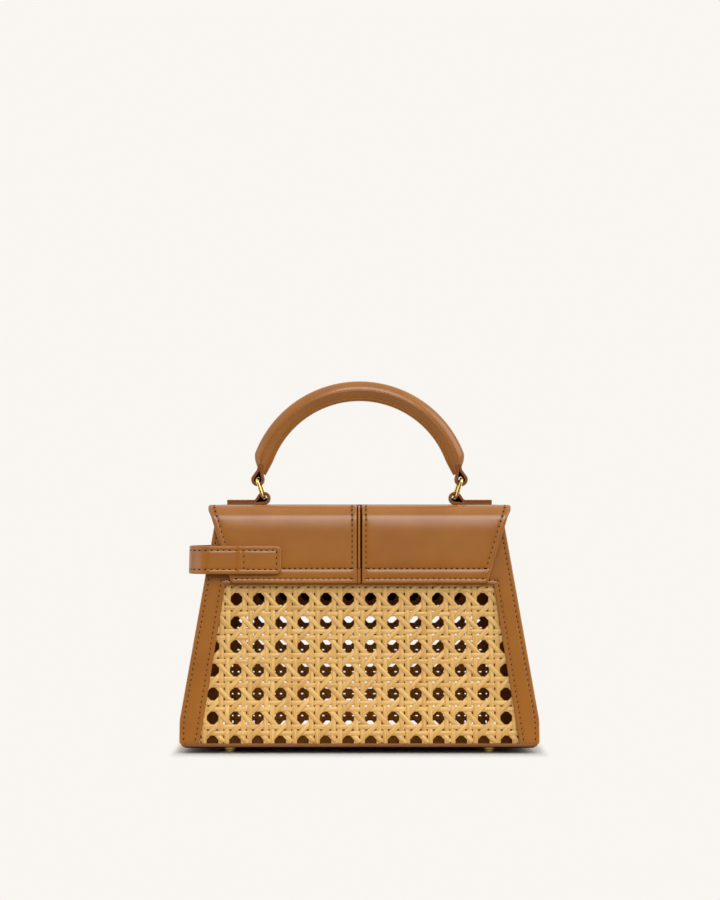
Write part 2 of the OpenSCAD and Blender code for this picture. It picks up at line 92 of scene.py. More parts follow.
def put(name, data):
    made = bpy.data.objects.new(name, data)
    scene.collection.objects.link(made)
    return made


PAPER_WHITE = linear("#F9F6F1")
ROOM_LIGHT, SKY_LIGHT, FLOOR_BOUNCE = 0.54, 0.45, 0.28
# Each lamp: where it stands, its strength, its width in degrees, and whether it shows as a highlight
LAMPS = {
    "window_lamp": ((0.80, -0.38, 0.50), 0.95, 40, True),
    "front_fill": ((0.05, -0.60, 0.80), 0.22, 46, False),
    "front_softbox": ((0.06, -0.83, 0.56), 1.10, 30, True),
    "left_panel": ((-1.0, -0.25, 0.12), 0.30, 40, True),
}

scene.world = bpy.data.worlds.new("white_room")
scene.world.use_nodes = True
room = scene.world.node_tree
room.nodes.clear()
direct, mirrored = ray_kinds(room)
towards = add(room, "ShaderNodeSeparateXYZ", {0: add(room, "ShaderNodeTexCoord").outputs["Generated"]}).outputs
# The room is white on all sides but dim behind the camera, where the photographer stands
dim = add(room, "ShaderNodeMapRange", {0: towards[1], 1: -0.91, 2: -0.58, 3: 0.02, 4: 1.0},
          interpolation_type="SMOOTHSTEP")
# Its light comes mostly from above, and less of it back from the floor
upper = add(room, "ShaderNodeMapRange", {0: towards[2], 3: ROOM_LIGHT, 4: ROOM_LIGHT + SKY_LIGHT})
bounce = add(room, "ShaderNodeMapRange", {0: towards[2], 1: -0.05, 2: 0.05, 3: FLOOR_BOUNCE, 4: upper})
lit = add(room, "ShaderNodeBackground", {"Color": (1, 1, 1, 1), "Strength": bounce})
shine = add(room, "ShaderNodeBackground", {"Color": PAPER_WHITE, "Strength": dim})
shown = add(room, "ShaderNodeBackground", {"Color": PAPER_WHITE, "Strength": 1.0})
unseen = add(room, "ShaderNodeMixShader", {0: mirrored, 1: lit, 2: shine})
whole = add(room, "ShaderNodeMixShader", {0: direct, 1: unseen, 2: shown})
add(room, "ShaderNodeOutputWorld", {"Surface": whole})

floor_light = ROOM_LIGHT + SKY_LIGHT * 2 / 3
for name, (place, strength, spread, shows) in LAMPS.items():
    lamp = bpy.data.lights.new(name, "SUN")
    lamp.energy = strength
    lamp.angle = math.radians(spread)
    holder = put(name, lamp)
    holder.visible_glossy = shows
    holder.rotation_euler = Vector(place).to_track_quat("Z", "Y").to_euler()
    floor_light += strength * place[2] / math.hypot(*place) / math.pi

# Matt paper floor: it takes the shadow close round the bag, where it is also painted a little darker, and further off
# the camera and mirrors see plain white
BODY_HALF, DEPTH_HALF, SHADOW_REACH = 101.0, 43.0, 19.0
paper, tree, sheet = new_material("matt_paper")
here = add(tree, "ShaderNodeTexCoord").outputs["Object"]
spot = add(tree, "ShaderNodeVectorMath", {0: here}, operation="ABSOLUTE")
gap = add(tree, "ShaderNodeVectorMath", {0: spot, 1: (BODY_HALF * MM, DEPTH_HALF * MM, 0)}, operation="SUBTRACT")
away = add(tree, "ShaderNodeVectorMath", {0: gap, 1: (0, 0, 0)}, operation="MAXIMUM")
# The shadow, real and painted, spreads less to the sides than to the front
spread = add(tree, "ShaderNodeVectorMath", {0: away, 1: (3, 1, 0)}, operation="MULTIPLY")
reach = add(tree, "ShaderNodeVectorMath", {0: spread}, operation="LENGTH").outputs["Value"]
white = add(tree, "ShaderNodeMapRange", {0: reach, 1: 0.0, 2: SHADOW_REACH * MM}, interpolation_type="SMOOTHSTEP")
direct, mirrored = ray_kinds(tree)
seen = add(tree, "ShaderNodeMath", {0: direct, 1: mirrored}, operation="MAXIMUM")
glow = add(tree, "ShaderNodeMath", {0: white, 1: seen}, operation="MULTIPLY")
# Close round the bag the paper shows only 85% of the white further off: a painted shadow over the real one
paper_share_painted_shadow = add(tree, "ShaderNodeMapRange", {0: glow, 3: 0.85, 4: 0.0})
tone = add(tree, "ShaderNodeVectorMath", {0: [c / floor_light for c in PAPER_WHITE[:3]], "Scale": paper_share_painted_shadow},
           operation="SCALE")
plug(tree, sheet, {"Base Color": tone, "Emission Color": PAPER_WHITE, "Emission Strength": glow,
                   "Roughness": 1.0, "Specular IOR Level": 0.0})
floor_mesh = bpy.data.meshes.new("paper_floor")
floor_mesh.from_pydata([(-0.2, -0.15, 0), (0.2, -0.15, 0), (0.2, 0.15, 0), (-0.2, 0.15, 0)], [], [(0, 1, 2, 3)])
floor_mesh.materials.append(paper)
paper_floor = put("paper_floor", floor_mesh)

lens = bpy.data.cameras.new("front_camera")
lens.sensor_fit = "VERTICAL"
lens.sensor_height = 36
lens.lens = 76.3
front_camera = put("front_camera", lens)
front_camera.location = (0.0003, -1.114, 0.1364)
front_camera.rotation_euler = (math.radians(91.80), 0, 0)
scene.camera = front_camera


# Tray: a shallow leather-covered board that the panels stand in, with a low rim at front and back.
# The cover is turned over the rim, so its edges are soft, and underneath the board is in near-black lining, a painted
# shade under the bag.
def piece(name, verts, faces, finishes, parts=None, sharp=42):
    mesh = bpy.data.meshes.new(name)
    mesh.from_pydata((np.asarray(verts, float) * MM).tolist(), [], faces)
    for finish in finishes:
        mesh.materials.append(finish)
    if parts is not None:
        mesh.polygons.foreach_set("material_index", parts)
    shell = bmesh.new()
    shell.from_mesh(mesh)
    bmesh.ops.remove_doubles(shell, verts=shell.verts, dist=1e-7)
    bmesh.ops.recalc_face_normals(shell, faces=shell.faces)
    shell.to_mesh(mesh)
    shell.free()
    mesh.polygons.foreach_set("use_smooth", [True] * len(mesh.polygons))
    mesh.set_sharp_from_angle(angle=math.radians(sharp))
    return put(name, mesh)


def fit(made, body, slot, *stood_for):
    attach(made, body)
    if stood_for:
        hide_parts(*stood_for)


def sweep(rings, closed=False):
    # Points and faces of a skin over rings that follow one another, capped unless it runs round
    rings = np.asarray(rings)
    rows, count = rings.shape[:2]
    faces = []
    for k in range(rows if closed else rows - 1):
        this, after = k * count, (k + 1) % rows * count
        faces += [(this + i, this + (i + 1) % count, after + (i + 1) % count, after + i) for i in range(count)]
    if not closed:
        faces += [tuple(range(count)), tuple(range((rows - 1) * count, rows * count))]
    return rings.reshape(-1, 3), faces


def mix(tree, share, one, other):
    return add(tree, "ShaderNodeMix", {0: share, 6: one, 7: other}, data_type="RGBA").outputs[2]


# Smooth calf leather, dyed through and finished semi-matt: fine pores, soft cloudy tone
def calf(name, tone, cloud, gloss, shine=0.5):
    made, tree, skin = new_material(name)
    place = add(tree, "ShaderNodeTexCoord").outputs["Object"]
    clouds = add(tree, "ShaderNodeTexNoise", {"Vector": place, "Scale": 1 / (22 * MM), "Detail": 3.0})
    pores = add(tree, "ShaderNodeTexVoronoi", {"Vector": place, "Scale": 1 / (0.55 * MM), "Smoothness": 1.0},
                feature="SMOOTH_F1")
    creases = add(tree, "ShaderNodeTexNoise", {"Vector": place, "Scale": 1 / (1.6 * MM), "Detail": 2.0})
    shade = add(tree, "ShaderNodeMapRange", {0: clouds, 1: 0.32, 2: 0.68})
    worn = add(tree, "ShaderNodeMapRange", {0: clouds, 1: 0.3, 2: 0.7, 3: gloss - 0.015, 4: gloss + 0.015})
    grain = add(tree, "ShaderNodeMath", {0: pores, 1: 0.3, 2: creases}, operation="MULTIPLY_ADD")
    relief = add(tree, "ShaderNodeBump", {"Height": grain, "Strength": 0.08, "Distance": 0.06 * MM})
    plug(tree, skin, {"Base Color": mix(tree, shade, linear(tone), linear(cloud)), "Roughness": worn,
                      "Normal": relief, "Specular IOR Level": shine})
    return made


tan_calf = calf("tan_calf_leather", "#9C6121", "#92581A", 0.23)
# The tray's calf is a darker copy of the body's calf: painted shade low at the foot of the bag
shaded_base_calf = calf("tan_calf_leather_base_painted_shade", "#7D4C20", "#744419", 0.36, 0.3)
inner_calf = calf("brown_calf_lining", "#A9702F", "#9E6628", 0.80, 0.0)
# Near-black lining, used only where shade falls: painted shade under the tray, in the flap's slot, under the yoke and
# inside the loops
shade_dark_lining = calf("painted_shade_black_lining", "#2A170B", "#221107", 0.85, 0.0)


def inset_loop(loop, distance):
    loop = np.asarray(loop, float)
    ahead = np.roll(loop, -1, 0) - loop
    ahead /= np.linalg.norm(ahead, axis=1)[:, None]
    inward = np.stack([-ahead[:, 1], ahead[:, 0]], 1)
    before = np.roll(inward, 1, 0)
    return loop + distance * (inward + before) / (1 + np.sum(inward * before, 1))[:, None]


def turn(centre, r, start, end, steps):
    angles = [math.radians(start + (end - start) * i / steps) for i in range(steps + 1)]
    return [(centre[0] + r * math.cos(a), centre[1] + r * math.sin(a)) for a in angles]


TRAY_HALF, FOOT_H, FLOOR_Z, RIM_Z, RIM_T = 99.8, 3.3, 4.8, 5.9, 1.6
channel_loop = turn((DEPTH_HALF - 1.5, FOOT_H + 1.5), 1.5, -90, 0, 6)
channel_loop += turn((DEPTH_HALF - 0.7, RIM_Z - 0.7), 0.7, 0, 90, 5)
channel_loop += turn((DEPTH_HALF - RIM_T + 0.8, RIM_Z - 0.8), 0.8, 90, 180, 5) + [(DEPTH_HALF - RIM_T, FLOOR_Z)]
channel_loop += [(-y, z) for y, z in reversed(channel_loop)]
ends = [(TRAY_HALF, 0.62), (TRAY_HALF - 0.08, 0.36), (TRAY_HALF - 0.3, 0.12), (TRAY_HALF - 0.7, 0)]
stations = [(-x, d) for x, d in ends] + [(x, 0) for x in np.linspace(-90, 90, 25)] + ends[::-1]
rings = []
for x, inset in stations:
    y, z = inset_loop(channel_loop, inset).T
    # Seen from the front the lower corners are round
    cut_back = 2.6 * np.clip((5.6 - z) / 2.3, 0, 1) ** 2 * np.clip((abs(x) - 94) / 5.8, 0, 1)
    rings.append(np.stack([x - np.sign(x) * cut_back, y, z], 1))
skins = []
# The tray floor's top takes the brown lining; the low faces under the board take the near-black one, a painted shade
# beneath the bag
for (_, z), (_, next_z) in zip(channel_loop, channel_loop[1:] + channel_loop[:1]):
    skins.append(1 if z == next_z == FLOOR_Z else 2 if z + next_z < 2 * FOOT_H + 1.2 else 0)
base_tray = piece("tray_leather", *sweep(rings), [shaded_base_calf, inner_calf, shade_dark_lining],
                  skins * (len(stations) - 1) + [0, 0])
fit(base_tray, "body", "leather_trim", "base_tray")


# Feet: four turned brass studs, each riveted through the tray floor with its own stem.
# A flat pad takes the wear, a waist rises to a collar that bears on the leather.
def lathe(name, profile, centre, finish, around=40):
    rings = [[(x, y, z) for x, y in turn(centre, r, 0, 360, around)[:-1]] for r, z in profile]
    return piece(name, *sweep(rings), [finish])


def two_tone(name, one, other, grit, detail, rough, shine=0.5, metal=0.0):
    # A finish in two close tones, in specks of the given width in millimetres
    made, tree, surface = new_material(name)
    place = add(tree, "ShaderNodeTexCoord").outputs["Object"]
    speck = add(tree, "ShaderNodeTexNoise", {"Vector": place, "Scale": 1 / (grit * MM), "Detail": detail})
    haze = add(tree, "ShaderNodeMapRange", {0: speck, 1: 0.3, 2: 0.7, 3: rough[0], 4: rough[1]})
    plug(tree, surface, {"Base Color": mix(tree, speck, linear(one), linear(other)), "Roughness": haze,
                         "Specular IOR Level": shine, "Metallic": metal})
    return made


# Polished brass with a pale gold plating: bright, slightly uneven from the polishing wheel
gold_brass = two_tone("gold_plated_brass", "#EBCB78", "#F4DA98", 1.2, 3.0, (0.12, 0.24), metal=1.0)

SIDES = ((-1, "left"), (1, "right"))
FOOT_X, FOOT_Y = 73.0, 33.0
stud = [(2.2, 0), (2.6, 0.06), (2.95, 0.3), (3.1, 0.6), (3.12, 1.0), (3.2, 1.5), (3.45, 1.9), (3.9, 2.15),
        (4.12, 2.3), (4.2, 2.5), (4.2, 3.0), (4.12, 3.2), (3.9, 3.3), (1.1, 3.3), (1.1, 4.8)]
for y, face in ((-1, "front"), (1, "back")):
    for x, word in SIDES:
        foot = lathe(f"stud_{face}_{word}", stud, (x * FOOT_X, y * FOOT_Y), gold_brass)
        fit(foot, "body", "brass", f"foot_{face}_{word}")


# Cane panels: six-way chair cane, pairs of upright and level strands with single diagonals.
# The mat is sewn behind the leather frames, its strands split rattan, glossy on the bark side.
PANEL_Y, PANEL_RISE = 41.25, 128.7
LEAN = math.atan((PANEL_Y - 26) / PANEL_RISE)
SIN, COS, TAN = math.sin(LEAN), math.cos(LEAN), math.tan(LEAN)
WINDOW_FOOT, WINDOW_TOP, WINDOW_LEN = 89.9, 76.3, 89.2 / COS
PITCH, RISE, PAIR, FIRST_ROW = 12.7, 13.36, 3.45, 81.3 / COS
MAT_MIDDLE, MAT_HIDDEN = -2.55, 4.5


def panel_place(face, shift=0.0):
    # Across, up and out of the front or back panel, which lean towards each other
    def place(x, u, out):
        y = -PANEL_Y + u * SIN - (out + shift) * COS
        return np.stack([x, -y if face == "back" else y, FLOOR_Z + u * COS + (out + shift) * SIN], 1)
    return place


def move_verts(made, place):
    co = np.empty(len(made.data.vertices) * 3)
    made.data.vertices.foreach_get("co", co)
    made.data.vertices.foreach_set("co", (place(*(co.reshape(-1, 3) / MM).T) * MM).ravel())
    made.data.update()


def window_half(u):
    return WINDOW_FOOT - (WINDOW_FOOT - WINDOW_TOP) / WINDOW_LEN * u


def plain_wave(distance, period, first):
    # Height of an upright or level strand: under one strand of each pair it meets, over the other
    t = (distance + period / 2) % period - period / 2
    half = PAIR / 2
    inside = np.sin(np.clip(t / half, -1, 1) * math.pi / 2)
    far = np.sin(np.clip((period / 2 - np.abs(t)) / (period / 2 - half), -1, 1) * math.pi / 2)
    return 0.26 * first * np.where(np.abs(t) < half, inside, np.sign(t) * far)


def long_wave(phase):
    # Height of a diagonal: flat over one pair, then down through the corner of a hole under the next
    return 0.52 * np.tanh(2.6 * np.cos(2 * math.pi * phase)) / math.tanh(2.6)


def cane_strands():
    strands = []
    step = 1.0
    top, foot = WINDOW_LEN + MAT_HIDDEN, 0.9
    rise = np.arange(foot, top + step / 2, step)
    for k in range(-7, 8):
        for first in (1, -1):
            x = k * PITCH - first * PAIR / 2
            u = rise[np.abs(x) < window_half(rise) + MAT_HIDDEN]
            if len(u) > 8:
                strands.append((np.full(len(u), x), u, plain_wave(u - FIRST_ROW - RISE / 2, RISE, first)))
    for j in range(-1, 8):
        for first in (-1, 1):
            u = FIRST_ROW - (j + 0.5) * RISE + first * PAIR / 2
            if foot + 1 < u < top:
                half = window_half(u) + MAT_HIDDEN
                x = np.linspace(-half, half, int(2 * half / step))
                strands.append((x, np.full(len(x), u), plain_wave(x, PITCH, first)))
    t = np.arange(-20, 20, 2 * step / math.hypot(PITCH, RISE) * 0.75)
    for slope in (-1, 1):
        for n in range(-22, 23):
            x, u = t * PITCH, FIRST_ROW + slope * (n - t) * RISE
            keep = (u > foot) & (u < top) & (np.abs(x) < window_half(u) + MAT_HIDDEN)
            if keep.sum() > 6:
                # The falling diagonals pass over the upright pairs, the rising ones over the level pairs
                phase = t[keep] if slope > 0 else t[keep] + 0.5
                strands.append((x[keep], u[keep], long_wave(phase)))
    return strands


# Split rattan: pale straw bark with fine fibres along each strand, each strand its own tone; the pith behind is deep
# brown, partly its own duller colour and partly painted shade for the dim inside of the bag
straw_cane, tree, bark = new_material("straw_cane")
along, over, tone, outside = (add(tree, "ShaderNodeAttribute", attribute_name=word).outputs["Fac"]
                              for word in ("along", "over", "tone", "bark"))
strand = add(tree, "ShaderNodeCombineXYZ", {0: along, 1: over, 2: tone})
# Fibres are 0.15 mm apart in life; here 0.4 mm, so that they show
grain = add(tree, "ShaderNodeMapping", {"Vector": strand, "Scale": (1 / (14 * MM), 12.0, 40.0)})
fibres = add(tree, "ShaderNodeTexNoise", {"Vector": grain, "Scale": 1.0, "Detail": 3.0})
streaks = add(tree, "ShaderNodeMapRange", {0: fibres, 1: 0.3, 2: 0.7})
light = mix(tree, streaks, linear("#CB994B"), linear("#E8BE71"))
deep = mix(tree, streaks, linear("#BF8A40"), linear("#DDAE63"))
# Faces turned from the bark take the deep brown: the pith's own colour and a painted shade for the bag's dim inside
# seen through the holes
side = add(tree, "ShaderNodeMapRange", {0: outside, 1: -0.3, 2: 0.0})
plug(tree, bark, {
    "Base Color": mix(tree, side, linear("#B4752C"), mix(tree, tone, light, deep)), "Roughness": 0.42,
    "Specular IOR Level": add(tree, "ShaderNodeMapRange", {0: side, 3: 0.05, 4: 0.5}),
    "Normal": add(tree, "ShaderNodeBump", {"Height": fibres, "Strength": 0.35, "Distance": 0.08 * MM})})


def node_group(name, numbers):
    tree = bpy.data.node_groups.new(name, "GeometryNodeTree")
    tree.interface.new_socket("Geometry", in_out="INPUT", socket_type="NodeSocketGeometry")
    for word in numbers:
        tree.interface.new_socket(word, in_out="INPUT", socket_type="NodeSocketFloat")
    tree.interface.new_socket("Geometry", in_out="OUTPUT", socket_type="NodeSocketGeometry")
    return tree, add(tree, "NodeGroupInput").outputs


def end_group(tree, geometry, finish):
    whole = add(tree, "GeometryNodeRealizeInstances", {"Geometry": geometry})
    dressed = add(tree, "GeometryNodeSetMaterial", {"Geometry": whole, "Material": finish})
    add(tree, "NodeGroupOutput", {"Geometry": dressed})


def keep_value(tree, geometry, name, value):
    return add(tree, "GeometryNodeStoreNamedAttribute", {"Geometry": geometry, "Name": name, "Value": value},
               data_type="FLOAT", domain="POINT")


def grown(name, mesh, tree, sizes):
    # A piece that a node group makes out of bare points or lines, its inputs in millimetres
    seed = put(mesh.name, mesh)
    step = seed.modifiers.new(tree.name, "NODES")
    step.node_group = tree
    for word, value in sizes.items():
        socket = next(s.identifier for s in tree.interface.items_tree if s.name == word)
        step[socket] = value * MM
    graph = bpy.context.evaluated_depsgraph_get()
    finished = bpy.data.meshes.new_from_object(seed.evaluated_get(graph))
    finished.name = name
    bpy.data.objects.remove(seed)
    return put(name, finished)


weaver, given = node_group("cane_weaver", ("Strand width", "Strand thickness"))
spline = add(weaver, "GeometryNodeSplineParameter").outputs
runs = add(weaver, "GeometryNodeMeshToCurve", {"Mesh": given["Geometry"]})
upright = add(weaver, "GeometryNodeSetCurveNormal", {"Curve": runs}, mode="Z_UP")
strip = add(weaver, "GeometryNodeCurvePrimitiveQuadrilateral", {
    "Width": given["Strand width"], "Height": given["Strand thickness"]}, mode="RECTANGLE")
section = add(weaver, "GeometryNodeFilletCurve", {"Curve": strip, "Count": 1, "Radius": 0.22 * MM}, mode="POLY")
woven = add(weaver, "GeometryNodeCurveToMesh", {
    "Curve": keep_value(weaver, upright, "along", spline["Length"]),
    "Profile Curve": keep_value(weaver, section, "over", spline["Factor"]), "Fill Caps": True})
normal = add(weaver, "ShaderNodeSeparateXYZ", {0: add(weaver, "GeometryNodeInputNormal")})
sided = keep_value(weaver, woven, "bark", normal.outputs[2])
end_group(weaver, add(weaver, "GeometryNodeSetShadeSmooth", {"Geometry": sided}), straw_cane)

chance = np.random.default_rng(11)
for face in ("front", "back"):
    verts, edges, tones = [], [], []
    for x, u, height in cane_strands():
        # Where the strands run behind the frame they lie flat between it and the facing
        edge = np.maximum(np.abs(x) - window_half(u), np.maximum(u - WINDOW_LEN, 2.2 - u))
        limit = np.where(edge > -0.6, 0.22, 0.75)
        start = len(tones)
        verts.append(np.stack([x, u, np.clip(height, -limit, limit)], 1) * MM)
        edges += [(start + i, start + i + 1) for i in range(len(x) - 1)]
        tones += [chance.random()] * len(x)
    mesh = bpy.data.meshes.new("strand_runs")
    mesh.from_pydata(np.concatenate(verts).tolist(), edges, [])
    mesh.attributes.new("tone", "FLOAT", "POINT").data.foreach_set("value", tones)
    mat = grown(f"{face}_cane_weave", mesh, weaver, {"Strand width": 2.68, "Strand thickness": 0.42})
    if face == "back":
        mat.data.flip_normals()
    move_verts(mat, panel_place(face, MAT_MIDDLE))
    fit(mat, "body", "cane", f"{face}_cane")


# Frames: a U of calf leather on each face, its legs beside the cane and its rail behind the flap.
# Both edges are sewn down through cane and facing, which draws a shallow channel under each row.
stitch_sites = {"body": [], "flap": [], "handle": []}
needle_sites = {"body": [], "flap": []}
PANEL_LEN, CORNER_R, SEAM = PANEL_RISE / COS, 1.6, 2.5
SIDE_LEAN, FOOT_UPRIGHT = 0.167, 13.6
# Distances from an edge at which the leather's surface is drawn, close together near the edge
NEAR = np.array((0, 0.1, 0.3, 0.6, 1.1, 1.7, 2.1, 2.5, 2.9, 3.4, 4.2, 5.2))

# Painted leather edge: a darker lacquer along the cut, nearly smooth, with a slight sheen
painted_edge = two_tone("painted_leather_edge", "#754217", "#834D1C", 2.5, 2.0, (0.5, 0.5), 0.3)


def grid_piece(name, flat, height, thick, place, finishes, keep=None):
    # A sheet of leather: the first finish on its face, the second on its edge, any third underneath
    rows, cols = flat.shape[:2]
    x, s = flat[..., 0].ravel(), flat[..., 1].ravel()
    top = place(x, s, height.ravel())
    low = place(x, s, -np.broadcast_to(thick, height.shape).ravel().astype(float))
    index = np.arange(rows * cols).reshape(rows, cols)
    quads = np.stack([index[:-1, :-1], index[:-1, 1:], index[1:, 1:], index[1:, :-1]], -1)
    quads = quads.reshape(-1, 4) if keep is None else quads[keep]
    sides = np.concatenate([quads[:, [i, (i + 1) % 4]] for i in range(4)])
    known = {tuple(e) for e in sides.tolist()}
    rim = np.array([e for e in known if (e[1], e[0]) not in known])
    rim = rim[np.lexsort(rim.T)]
    shift = rows * cols
    walls = np.stack([rim[:, 1], rim[:, 0], rim[:, 0] + shift, rim[:, 1] + shift], -1)
    under = len(finishes) - 1 if len(finishes) > 2 else 0
    parts = [0] * len(quads) + [under] * len(quads) + [1] * len(walls)
    used = np.unique(np.concatenate([quads.ravel(), quads.ravel() + shift]))
    fresh = np.zeros(2 * shift, int)
    fresh[used] = np.arange(len(used))
    faces = fresh[np.concatenate([quads, quads[:, ::-1] + shift, walls])].tolist()
    return piece(name, np.concatenate([top, low])[used], faces, finishes, parts)


def row_grid(across, rows):
    return np.stack([across, np.repeat(rows[:, None], across.shape[1], 1)], -1)


def between(start, end, count, near=NEAR):
    # Places from one edge to the other, close together near both
    middle = np.linspace(start + near[-1], end - near[-1], count)[1:-1]
    return np.concatenate([start + near, middle, end - near[::-1]])


def soft_edge(distance, soft=0.5):
    d = np.clip(distance, 0, soft)
    return -soft + np.sqrt(np.maximum(0, soft ** 2 - (soft - d) ** 2))


def channel(distance, sunk=0.17, wide=0.45):
    return -sunk * np.exp(-(distance / wide) ** 2)


def stitch_row(body, line, place, pitch=3.1, height=-0.16, closed=False):
    line = np.asarray(line, float)
    if closed:
        line = np.concatenate([line, line[:1]])
    reach = np.concatenate([[0], np.cumsum(np.linalg.norm(np.diff(line, axis=0), axis=1))])
    count = max(2, round(reach[-1] / pitch))
    step, nudge, lift = reach[-1] / count, 0.25, 0.5

    def at(spot, out=height):
        x, s = (np.interp(spot, reach, line[:, k]) for k in (0, 1))
        return place(x, s, np.full(len(x), out))

    def site(spots):
        middle = at(spots)
        return middle, at(spots + nudge) - at(spots - nudge), at(spots, height + lift) - middle
    stitch_sites[body].append(site((np.arange(count) + 0.5) * step))
    if body in needle_sites:
        needle_sites[body].append(site(np.arange(count + (not closed)) * step))


def side_half(rise):
    return BODY_HALF - SIDE_LEAN * np.maximum(0, rise - FOOT_UPRIGHT)


def frame_grid(foot, inset, narrow=np.zeros_like):
    low = np.array((0, 0.2, 0.5, 1, 1.6, 2.3, 3.1, 4.0))
    u = np.concatenate([foot + low, np.linspace(foot + low[-1], WINDOW_LEN - NEAR[-1], 32)[1:-1],
                        WINDOW_LEN - NEAR[:0:-1], between(WINDOW_LEN, PANEL_LEN, 12)])
    inner = np.where(u < WINDOW_LEN, window_half(u), WINDOW_TOP) - narrow(u)
    rounded = CORNER_R - np.sqrt(np.maximum(0, CORNER_R ** 2 - np.clip(foot + CORNER_R - u, 0, CORNER_R) ** 2))
    outer = side_half(u * COS) - inset - rounded
    leg = np.stack([between(a, b, 5, NEAR[:-1]) for a, b in zip(inner, outer)])
    rail = np.linspace(-1, 1, 25)[None, 1:-1] * inner[:, None]
    x = np.concatenate([-leg[:, ::-1], rail, leg], 1)
    keep = np.ones((len(u) - 1, x.shape[1] - 1), bool)
    keep[:np.searchsorted(u, WINDOW_LEN), leg.shape[1] - 1:-leg.shape[1] + 1] = False
    return row_grid(x, u), keep, np.repeat(outer[:, None], x.shape[1], 1)


FRAME_PITCH, FRAME_T = 3.0, 2.0
for face in ("front", "back"):
    at_panel = panel_place(face)
    flat, keep, outer = frame_grid(FRAME_T * TAN + 0.15, 0)
    across, u = np.abs(flat[..., 0]), flat[..., 1]
    d_window = np.maximum(across - window_half(u), u - WINDOW_LEN)
    d_side = np.minimum(outer - across, PANEL_LEN - u)
    height = soft_edge(d_window, 0.5) + soft_edge(d_side, 0.9)
    height += channel(d_window - SEAM) + channel(side_half(u * COS) - across - SEAM, 0.24, 0.5)
    height += 0.12 * np.clip((np.minimum(d_window, d_side) - SEAM) / 1.5, 0, 1)
    # The edge is turned in over the cane, down to the facing
    thick = FRAME_T + np.clip((0.9 - d_side) / 0.3, 0, 1)
    made = grid_piece(f"{face}_frame_leather", flat, height, thick, at_panel,
                      [tan_calf, painted_edge, inner_calf], keep)
    fit(made, "body", "leather", f"{face}_frame")
    lengths = np.linspace(3.4, PANEL_LEN - 1.2, 60)
    legs = np.linspace(3.2, WINDOW_LEN + SEAM, 40)
    for side, _ in SIDES:
        outer_row = np.stack([side * (side_half(lengths * COS) - SEAM), lengths], 1)
        stitch_row("body", outer_row, at_panel, FRAME_PITCH, -0.2)
        stitch_row("body", np.stack([side * (window_half(legs) + SEAM), legs], 1), at_panel, FRAME_PITCH)
    corner = window_half(WINDOW_LEN + SEAM) + SEAM - 1.5
    stitch_row("body", [(-corner, WINDOW_LEN + SEAM), (corner, WINDOW_LEN + SEAM)], at_panel, FRAME_PITCH)


# Facings: the same U in thinner lining leather behind the cane, hiding the ends of the strands.
# They are pasted and caught in the same rows of stitches as the frames.
FACING_IN, FACING_T = 3.1, 1.4
for face, wide in (("front", 0.0), ("back", 7.0)):
    def narrow(u, wide=wide):
        # The back facing is wider, most of all at the corners behind the yoke
        return wide * (1 + np.clip((u - 66) / 8, 0, 1))
    flat, keep, _ = frame_grid((FACING_IN + FACING_T) * TAN + 0.15, 2.0, narrow)
    across, u = np.abs(flat[..., 0]), flat[..., 1]
    height = soft_edge(np.maximum(across - window_half(u) + narrow(u), u - WINDOW_LEN), 0.3)
    made = grid_piece(f"{face}_facing_leather", flat, height, FACING_T, panel_place(face, -FACING_IN),
                      [inner_calf, painted_edge], keep)
    fit(made, "body", "leather_trim", f"{face}_facing")


# Gussets: the two sides, one strip of calf leather each, turned in between the panels.
# Their edges are sewn to the facings and they stand straight at the foot before they lean in.
GUSSET_TOP, GUSSET_IN, PANEL_T = 134.4, 2.0, 4.66


def gusset_half(z):
    return PANEL_Y - (z - FLOOR_Z) * TAN - PANEL_T / COS


for side, word in SIDES:
    def on_side(y, z, out, side=side):
        return np.stack([side * (side_half(z - FLOOR_Z) - GUSSET_IN + out), y, z], 1)
    z = between(FLOOR_Z + 0.15, GUSSET_TOP, 42)
    half = gusset_half(z)
    y = np.stack([between(-h, h, 12) for h in half])
    d_side = half[:, None] - np.abs(y)
    d_top = np.repeat((GUSSET_TOP - z)[:, None], y.shape[1], 1)
    height = soft_edge(np.minimum(d_side, d_top), 0.45) + channel(d_top - SEAM)
    made = grid_piece(f"gusset_{word}_leather", row_grid(y, z), height, 1.8, on_side,
                      [tan_calf, painted_edge, inner_calf])
    fit(made, "body", "leather", f"gusset_{word}")
    seam_z = GUSSET_TOP - SEAM
    reach = gusset_half(seam_z) - 1.5
    stitch_row("body", [(-reach, seam_z), (reach, seam_z)], on_side, 3.2)


# Flap: two calf panels side by side with a slot between them, folded over the top of the bag.
# Each is sewn to the lining close to its edges, and twice along its lower edge.
FLAP_TOP, FOLD_R, FOLD_Z, SOFT_R = 139.4, 8.0, 131.4, 10.5
FLAP_HALF, FLAP_LIP, FLAP_EDGE, LIP_R, SKIN = 86.5, 72.5, 95.0, 2.5, 2.0
SIDE_SEAM, SLOT_SEAM, HEM_SEAM = 3.2, {-1: 2.7, 1: 2.2}, 8.3
SIDE_SLOPE = (FLAP_HALF - FLAP_LIP) / (FLAP_TOP - FLAP_EDGE)
SIDE_SECANT = math.hypot(1, SIDE_SLOPE)
SLOT, HINGE_Y = 1.45, 18.51
EDGE_STEPS = [0, 0.1, 0.25, 0.5, 0.9, 1.4, 1.9, 2.2, 2.5, 2.8, 3.2, 3.8, 4.6]


